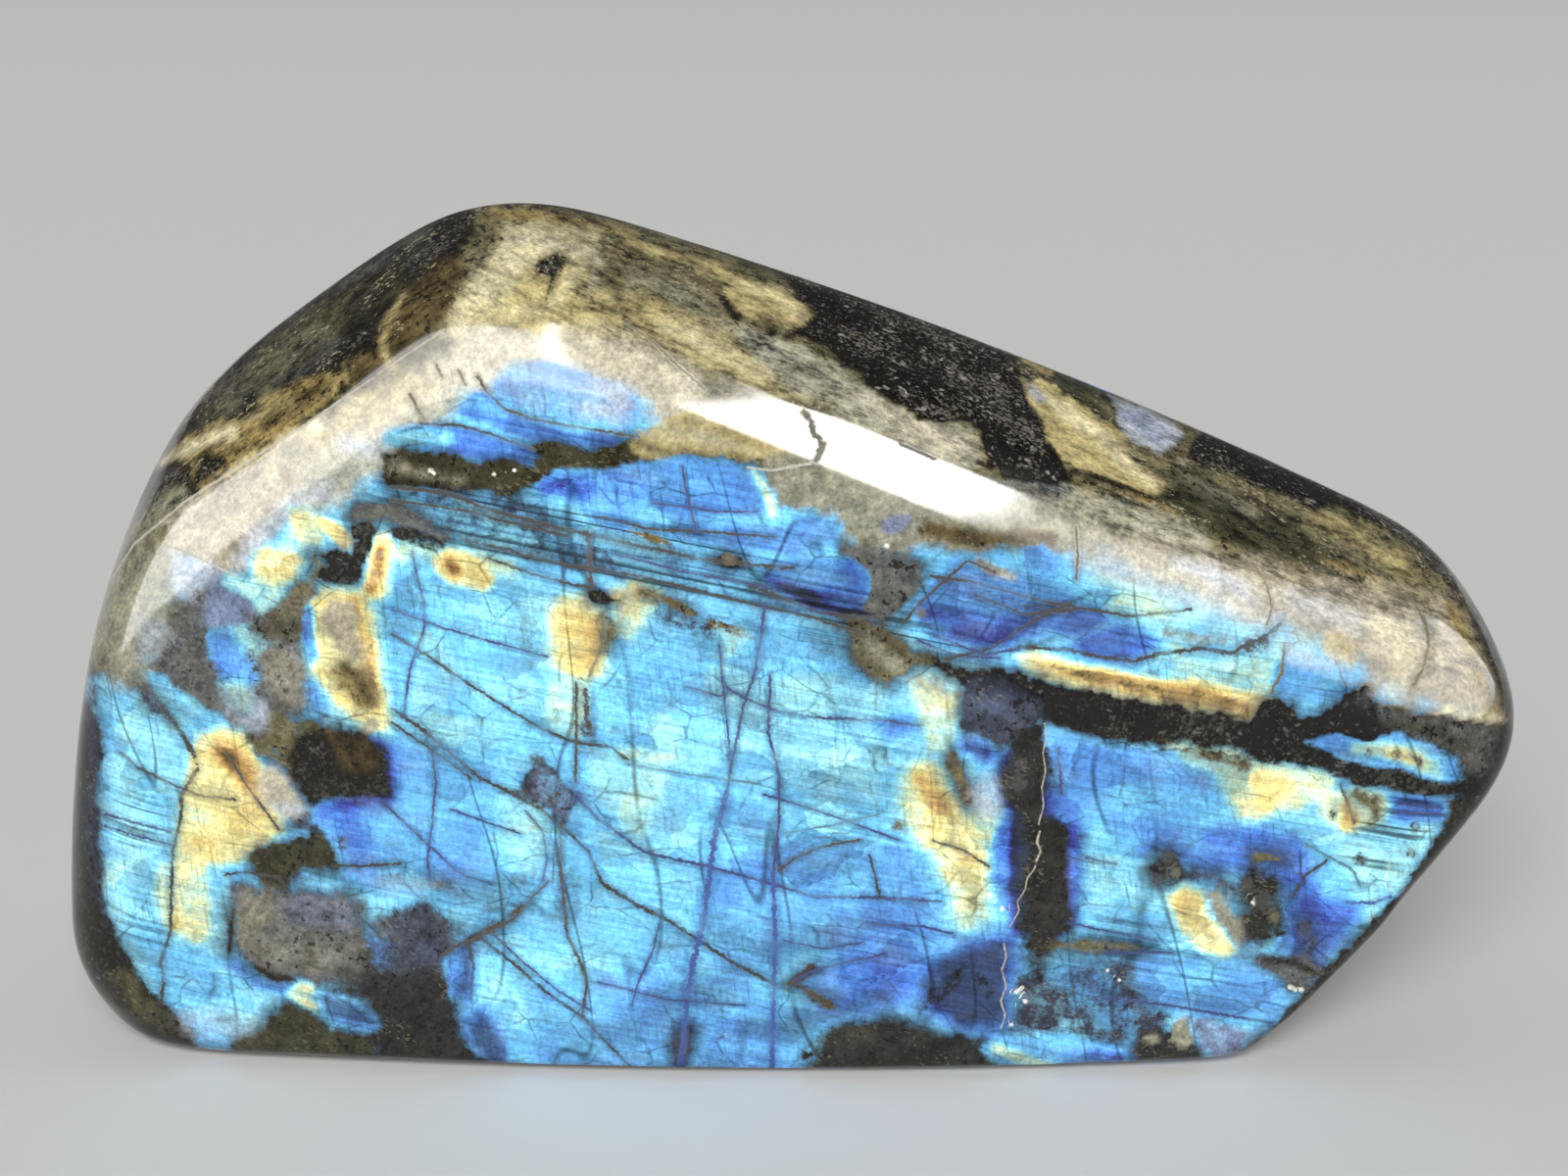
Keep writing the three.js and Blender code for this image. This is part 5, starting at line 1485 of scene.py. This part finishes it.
# The flash's colour: what was painted, moved a little along the row of colours by each pattern.
shift = painted["flash"]["Fac"]
for source, low, high, change in (
    (pattern["drift"], 0.3, 0.7, 0.05),
    (picks["plate"][0], 0.0, 1.0, 0.035),
    (picks["small plate"][0], 0.0, 1.0, 0.02),
    (pattern["sheets"], 0.3, 0.7, 0.03),
    (pattern["mottle"], 0.3, 0.7, 0.04),
):
    inputs = {"Value": source, "From Min": low, "From Max": high, "To Min": -change, "To Max": change}
    moved = add(tree, "ShaderNodeMapRange", inputs).outputs[0]
    shift = add(tree, "ShaderNodeMath", {0: shift, 1: moved}, operation="ADD").outputs[0]
ramp = add(tree, "ShaderNodeValToRGB", {"Fac": shift})
stops = ramp.color_ramp.elements
stops[0].color = linear(FLASH_COLOURS[0.0])
stops[1].color = linear(FLASH_COLOURS[1.0])
for position in list(FLASH_COLOURS)[1:-1]:
    stops.new(position).color = linear(FLASH_COLOURS[position])

# Veins and the edges of sheets wander where their noise passes its middle.
off_line = {}
for name in ("veins", "lamellae"):
    inputs = {0: pattern[name], 1: 0.5}
    off_middle = add(tree, "ShaderNodeMath", inputs, operation="SUBTRACT").outputs[0]
    off_line[name] = add(tree, "ShaderNodeMath", {0: off_middle}, operation="ABSOLUTE").outputs[0]

# How brightly the flash shows: each line is a pattern, the range of it that counts, the brightness
# at both ends of that range, and, unless it shows everywhere, the pattern, with its range, that says
# where it shows. A Mix node takes numbers at its inputs 2 and 3, and colours at 6 and 7.
lit = 1.0
for source, low, high, at_low, at_high, place in (
    (picks["plate"][1], 0.0, 1.0, 0.74, 1.2, None),
    (picks["small plate"][1], 0.0, 1.0, 0.84, 1.14, None),
    # Each plate is painted brighter in its middle and darker at its edges: a painted shading, as if it were
    # domed.
    (cells["plate"]["Distance"], 0.1, 0.7, 1.08, 0.88, None),
    (pattern["fine"], 0.3, 0.7, 0.7, 1.3, None),
    (pattern["fine sheets"], 0.34, 0.6, 0.78, 1.16, None),
    (cells["cell"]["Distance"], 0.0, 0.035, 0.42, 1.0, (pattern["clouds"], 0.44, 0.6)),
    (cells["small cell"]["Distance"], 0.0, 0.05, 0.78, 1.0, (pattern["pockets"], 0.48, 0.64)),
    (pattern["uprights"], 0.32, 0.46, 0.64, 1.0, (pattern["patches"], 0.56, 0.44)),
    (off_line["veins"], 0.002, 0.01, 0.4, 1.0, (pattern["patches"], 0.42, 0.56)),
    (pattern["sheets"], 0.36, 0.47, 0.5, 1.0, (painted["sheeted"]["Fac"], -0.25, 1.1)),
    (off_line["lamellae"], 0.02, 0.08, 0.2, 1.0, (painted["sheeted"]["Fac"], 0.1, 0.8)),
):
    inputs = {"Value": source, "From Min": low, "From Max": high, "To Min": at_low, "To Max": at_high}
    line = add(tree, "ShaderNodeMapRange", inputs).outputs[0]
    if place:
        where, absent, present = place
        inputs = {"Value": where, "From Min": absent, "From Max": present}
        there = add(tree, "ShaderNodeMapRange", inputs).outputs[0]
        inputs = {0: there, 2: 1.0, 3: line}
        line = add(tree, "ShaderNodeMix", inputs, data_type="FLOAT").outputs[0]
    lit = add(tree, "ShaderNodeMath", {0: lit, 1: line}, operation="MULTIPLY").outputs[0]
flash_colour = ramp.outputs["Color"]
for source, low, high, most, colour in (
    (pattern["dullness"], 0.5, 0.7, 0.36, "#7f909c"),
    (painted["dimmed"]["Fac"], 0.05, 1.0, 0.9, "#303a4a"),
):
    inputs = {"Value": source, "From Min": low, "From Max": high, "To Min": 0.0, "To Max": most}
    factor = add(tree, "ShaderNodeMapRange", inputs).outputs[0]
    inputs = {0: factor, 6: flash_colour, 7: linear(colour)}
    flash_colour = add(tree, "ShaderNodeMix", inputs, data_type="RGBA").outputs[2]
flash_colour = add(
    tree, "ShaderNodeMix", {0: 1.0, 6: flash_colour, 7: lit}, data_type="RGBA", blend_type="MULTIPLY"
).outputs[2]

# The dull parts: grain along the facet, and mottling.
rising_share = painted["rising grain"]["Fac"]
grain, fleck_noise = (
    add(
        tree,
        "ShaderNodeMix",
        {0: rising_share, 2: pattern["falling" + kind], 3: pattern["rising" + kind]},
        data_type="FLOAT",
    ).outputs[0]
    for kind in ("", " flecks")
)
inputs = {"Value": painted["grainy"]["Fac"], "To Min": 0.9, "To Max": 0.36}
cloudy = add(tree, "ShaderNodeMapRange", inputs).outputs[0]
inputs = {0: cloudy, 2: grain, 3: pattern["mottle"]}
tone = add(tree, "ShaderNodeMix", inputs, data_type="FLOAT").outputs[0]
painted_body = painted["body"]["Color"]
brightness = add(tree, "ShaderNodeRGBToBW", {"Color": painted_body}).outputs[0]
spreads = {}
for name, source, low, high, at_low, at_high in (
    ("pale", brightness, 0.18, 0.42, 0.0, 1.0),
    ("dark", brightness, 0.12, 0.3, 1.0, 0.0),
    ("sooty", brightness, 0.007, 0.015, 1.0, 0.0),
    ("not sooty", brightness, 0.008, 0.02, 0.0, 1.0),
    ("flaky", tone, 0.42, 0.58, 0.2, 2.1),
    ("clouded", tone, 0.38, 0.62, 0.5, 1.55),
    ("streaked", tone, 0.43, 0.57, 0.5, 1.32),
    ("milky", tone, 0.38, 0.62, 0.68, 1.3),
    ("grit", pattern["fine"], 0.32, 0.68, 0.56, 1.16),
    ("warmth", pattern["clouds"], 0.42, 0.6, 0.0, 0.5),
    ("fleck pocket", pattern["pockets"], 0.42, 0.6, -0.04, 0.08),
    ("pit pocket", pattern["pockets"], 0.62, 0.42, -0.04, 0.08),
    ("crystal face", cells["crystal"]["Distance"], 0.1, 0.55, 1.0, 0.0),
    ("crystal turned", picks["crystal"][0], 0.65, 1.0, 0.0, 1.0),
    ("tone push", tone, 0.42, 0.58, 1.3, -1.3),
    ("plate push", picks["plate"][2], 0.0, 1.0, -0.9, 0.9),
):
    inputs = {"Value": source, "From Min": low, "From Max": high, "To Min": at_low, "To Max": at_high}
    spreads[name] = add(tree, "ShaderNodeMapRange", inputs).outputs[0]
on_dark, on_pale = (
    add(
        tree,
        "ShaderNodeMix",
        {0: painted["grainy"]["Fac"], 2: spreads[on_face], 3: spreads[on_top]},
        data_type="FLOAT",
    ).outputs[0]
    for on_face, on_top in (("clouded", "flaky"), ("milky", "streaked"))
)
inputs = {0: spreads["pale"], 2: on_dark, 3: on_pale}
shade = add(tree, "ShaderNodeMix", inputs, data_type="FLOAT").outputs[0]
body_colour = painted_body
for factor in (shade, spreads["grit"]):
    body_colour = add(
        tree, "ShaderNodeMix", {0: 1.0, 6: body_colour, 7: factor}, data_type="RGBA", blend_type="MULTIPLY"
    ).outputs[2]
inputs = {0: spreads["warmth"], 1: spreads["dark"]}
warmer = add(tree, "ShaderNodeMath", inputs, operation="MULTIPLY").outputs[0]
inputs = {0: warmer, 6: body_colour, 7: WARM_TINT}
body_colour = add(
    tree, "ShaderNodeMix", inputs, data_type="RGBA", blend_type="MULTIPLY"
).outputs[2]

# Pale flecks in the dark parts; small pits there, whose darkness is painted shade; grey crystal faces in
# the black, and bright ones as a painted sparkle where a face would catch the light.
inputs = {0: spreads["crystal face"], 1: spreads["crystal turned"]}
sparkle = add(tree, "ShaderNodeMath", inputs, operation="MULTIPLY").outputs[0]
inputs = {"Value": painted["grainy"]["Fac"], "To Min": 0.3, "To Max": 1.0}
coarser = add(tree, "ShaderNodeMapRange", inputs).outputs[0]
inputs = {0: spreads["dark"], 1: spreads["not sooty"]}
plain_dark = add(tree, "ShaderNodeMath", inputs, operation="MULTIPLY").outputs[0]
for name, share in (("flecked", plain_dark), ("coarse", spreads["sooty"])):
    inputs = {0: share, 1: coarser}
    spreads[name] = add(tree, "ShaderNodeMath", inputs, operation="MULTIPLY").outputs[0]
for source, pocket, low, high, most, where, colour in (
    (fleck_noise, "fleck pocket", 0.64, 0.68, 0.7, "flecked", "#a79f82"),
    # Painted shade in small pits.
    (pattern["pits"], "pit pocket", 0.66, 0.70, 0.85, "dark", "#12100d"),
    (pattern["fine"], "fleck pocket", 0.55, 0.64, 0.6, "coarse", "#7d786c"),
    # A painted sparkle on crystal faces.
    (sparkle, "fleck pocket", 0.15, 0.7, 0.5, "coarse", "#b8b2aa"),
):
    inputs = {0: source, 1: spreads[pocket]}
    source = add(tree, "ShaderNodeMath", inputs, operation="ADD").outputs[0]
    inputs = {"Value": source, "From Min": low, "From Max": high, "To Min": 0.0, "To Max": most}
    spotted = add(tree, "ShaderNodeMapRange", inputs).outputs[0]
    inputs = {0: spotted, 1: spreads[where]}
    factor = add(tree, "ShaderNodeMath", inputs, operation="MULTIPLY").outputs[0]
    inputs = {0: factor, 6: body_colour, 7: linear(colour)}
    body_colour = add(tree, "ShaderNodeMix", inputs, data_type="RGBA").outputs[2]

# Cover and flash meet in a border that follows the grain and the plates, or softly where it is pale.
alpha = painted["body"]["Alpha"]
bare = add(tree, "ShaderNodeMath", {0: 1.0, 1: alpha}, operation="SUBTRACT").outputs[0]
unsure = add(tree, "ShaderNodeMath", {0: alpha, 1: bare}, operation="MULTIPLY").outputs[0]
inputs = {0: spreads["tone push"], 1: spreads["plate push"]}
push = add(tree, "ShaderNodeMath", inputs, operation="ADD").outputs[0]
inputs = {0: unsure, 1: push, 2: alpha}
pushed = add(tree, "ShaderNodeMath", inputs, operation="MULTIPLY_ADD").outputs[0]
inputs = {"Value": pushed, "From Min": 0.2, "From Max": 0.8}
sharp_cover = add(tree, "ShaderNodeMapRange", inputs).outputs[0]
inputs = {0: spreads["pale"], 2: sharp_cover, 3: alpha}
cover = add(tree, "ShaderNodeMix", inputs, data_type="FLOAT").outputs[0]
inputs = {0: cover, 6: flash_colour, 7: body_colour}
stone_colour = add(tree, "ShaderNodeMix", inputs, data_type="RGBA").outputs[2]

# Cracks fray at the scale of the grain, fade in and out along their length, and darken what is beside them
# with a painted soft shadow, but glints and dots don't. The polish is glassy, but duller on the pitted
# black and broken at a crack. Each family frays by so many half widths.
CRACK_FRAY = {"along": 4.5, "across": 4.5, "beside": 4.5, "glints": 2.6}
CRACK_ROUGHNESS = 0.7
inputs = {"Vector": per_mm, "Scale": 2.2, "Detail": 4.0, "Roughness": 0.7}
crack_noise = add(tree, "ShaderNodeTexNoise", inputs).outputs
inputs = {0: crack_noise["Color"], 1: (0.5, 0.5, 0.5)}
crack_fray = add(tree, "ShaderNodeVectorMath", inputs, operation="SUBTRACT").outputs[0]
black_cover = add(
    tree, "ShaderNodeMath", {0: spreads["sooty"], 1: alpha}, operation="MULTIPLY"
).outputs[0]
crack_strength, glint_strength, roughness = (
    add(
        tree,
        "ShaderNodeMapRange",
        {"Value": source, "From Min": low, "From Max": high, "To Min": at_low, "To Max": at_high},
    ).outputs[0]
    for source, low, high, at_low, at_high in (
        (pattern["crack strength"], 0.38, 0.54, 0.7, 1.0),
        (crack_noise["Fac"], 0.4, 0.54, 0.45, 1.0),
        (black_cover, 0.2, 1.0, 0.1, 0.24),
    )
)
for family, most in CRACK_FRAY.items():
    offset, tint = (
        add(tree, "ShaderNodeAttribute", attribute_name=family + kind).outputs
        for kind in (" offset", " tint")
    )
    inputs = {0: crack_fray, 1: (most, most, 0), 2: offset["Vector"]}
    frayed = add(tree, "ShaderNodeVectorMath", inputs, operation="MULTIPLY_ADD").outputs[0]
    away = add(tree, "ShaderNodeVectorMath", {0: frayed}, operation="LENGTH").outputs["Value"]
    inputs = {"Value": away, "From Min": 0.7, "From Max": 1.8, "To Min": 1.0, "To Max": 0.0}
    core = add(tree, "ShaderNodeMapRange", inputs).outputs[0]
    # A painted soft shadow beside the crack.
    inputs = {"Value": away, "From Min": 1.0, "From Max": 4.6, "To Min": 0.46, "To Max": 0.0}
    crack_shadow = add(tree, "ShaderNodeMapRange", inputs).outputs[0]
    strength = glint_strength
    is_crack = core
    if family != "glints":
        strength = crack_strength
        is_crack = add(tree, "ShaderNodeMath", {0: core, 1: crack_shadow}, operation="MAXIMUM").outputs[0]
    inputs = {0: is_crack, 1: strength}
    is_crack = add(tree, "ShaderNodeMath", inputs, operation="MULTIPLY").outputs[0]
    inputs = {0: is_crack, 6: stone_colour, 7: tint["Color"]}
    stone_colour = add(tree, "ShaderNodeMix", inputs, data_type="RGBA").outputs[2]
    inputs = {0: core, 2: roughness, 3: CRACK_ROUGHNESS}
    roughness = add(tree, "ShaderNodeMix", inputs, data_type="FLOAT").outputs[0]
tree.links.new(stone_colour, shader.inputs["Base Color"])
tree.links.new(roughness, shader.inputs["Roughness"])
stone_mesh.materials.clear()
stone_mesh.materials.append(labradorite)

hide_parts("stone")
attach(stone, "root")


# The table that the stone stands on: a plain pale board, painted matt, so that it takes a soft
# shadow and mirrors nothing. It is wide enough to fill the picture from every side.
FLOOR_REACH = 6
floor_mesh = bpy.data.meshes.new("floor")
floor_mesh.from_pydata(
    [(x * FLOOR_REACH, y * FLOOR_REACH, 0) for x, y in ((-1, -1), (1, -1), (1, 1), (-1, 1))],
    [],
    [(0, 1, 2, 3)],
)
floor = bpy.data.objects.new("floor", floor_mesh)
bpy.context.collection.objects.link(floor)
pale_board = bpy.data.materials.new("pale painted board")
pale_board.use_nodes = True
board_shader = pale_board.node_tree.nodes["Principled BSDF"]
board_shader.inputs["Base Color"].default_value = linear("#c2c2c0")
board_shader.inputs["Roughness"].default_value = 0.9
board_shader.inputs["Specular IOR Level"].default_value = 0.0
floor_mesh.materials.append(pale_board)


# The studio: a faint even surround, soft lamps that light the stone but aren't mirrored in it, and
# windows and strip lamps that its bevels mirror.
SURROUND_STRENGTH = 0.1
world = bpy.data.worlds.new("studio")
world.use_nodes = True
surround = world.node_tree.nodes["Background"].inputs
surround["Color"].default_value = linear("#e8ebf0")
surround["Strength"].default_value = SURROUND_STRENGTH
bpy.context.scene.world = world
LIGHT_DISTANCE = 40
MIRRORED_DISTANCE = 3.2


def softbox(name, gives, azimuth, elevation, width, height, radiance, rolled=0):
    """A lamp as seen from the stone: where it stands and how wide and high it looks, in degrees.
    Azimuth 0 is in front of the colour face, and grows to the right."""
    level = math.radians(azimuth)
    up = math.radians(elevation)
    away = Vector((math.sin(level) * math.cos(up), -math.cos(level) * math.cos(up), math.sin(up)))
    distance = LIGHT_DISTANCE if gives == "light" else MIRRORED_DISTANCE
    lamp = bpy.data.lights.new(name, "AREA")
    lamp.shape = "RECTANGLE"
    lamp.size = 2 * distance * math.tan(math.radians(width) / 2)
    lamp.size_y = 2 * distance * math.tan(math.radians(height) / 2)
    lamp.energy = radiance * math.pi * lamp.size * lamp.size_y
    holder = bpy.data.objects.new(name, lamp)
    holder.location = LOOKED_AT + away * distance
    roll = Quaternion((0, 0, 1), math.radians(rolled))
    holder.rotation_euler = (away.to_track_quat("Z", "Y") @ roll).to_euler()
    holder.visible_glossy = gives == "reflection"
    holder.visible_diffuse = gives == "light"
    bpy.context.collection.objects.link(holder)


softbox("front softbox", "light", -6, 38, 44, 30, 10.4)
softbox("overhead softbox", "light", 180, 70, 70, 50, 0.5)
softbox("left window", "reflection", -46, 29, 76, 42, 10.5, rolled=14)
softbox("right window", "reflection", 70, 28, 90, 36, 5.5)
softbox("strip softbox", "reflection", 22.5, 40.3, 13, 43, 50, rolled=-35.6)
softbox("narrow softbox", "reflection", -1.5, 44, 3.4, 32, 26, rolled=-9)
bpy.context.scene.view_settings.view_transform = "Standard"
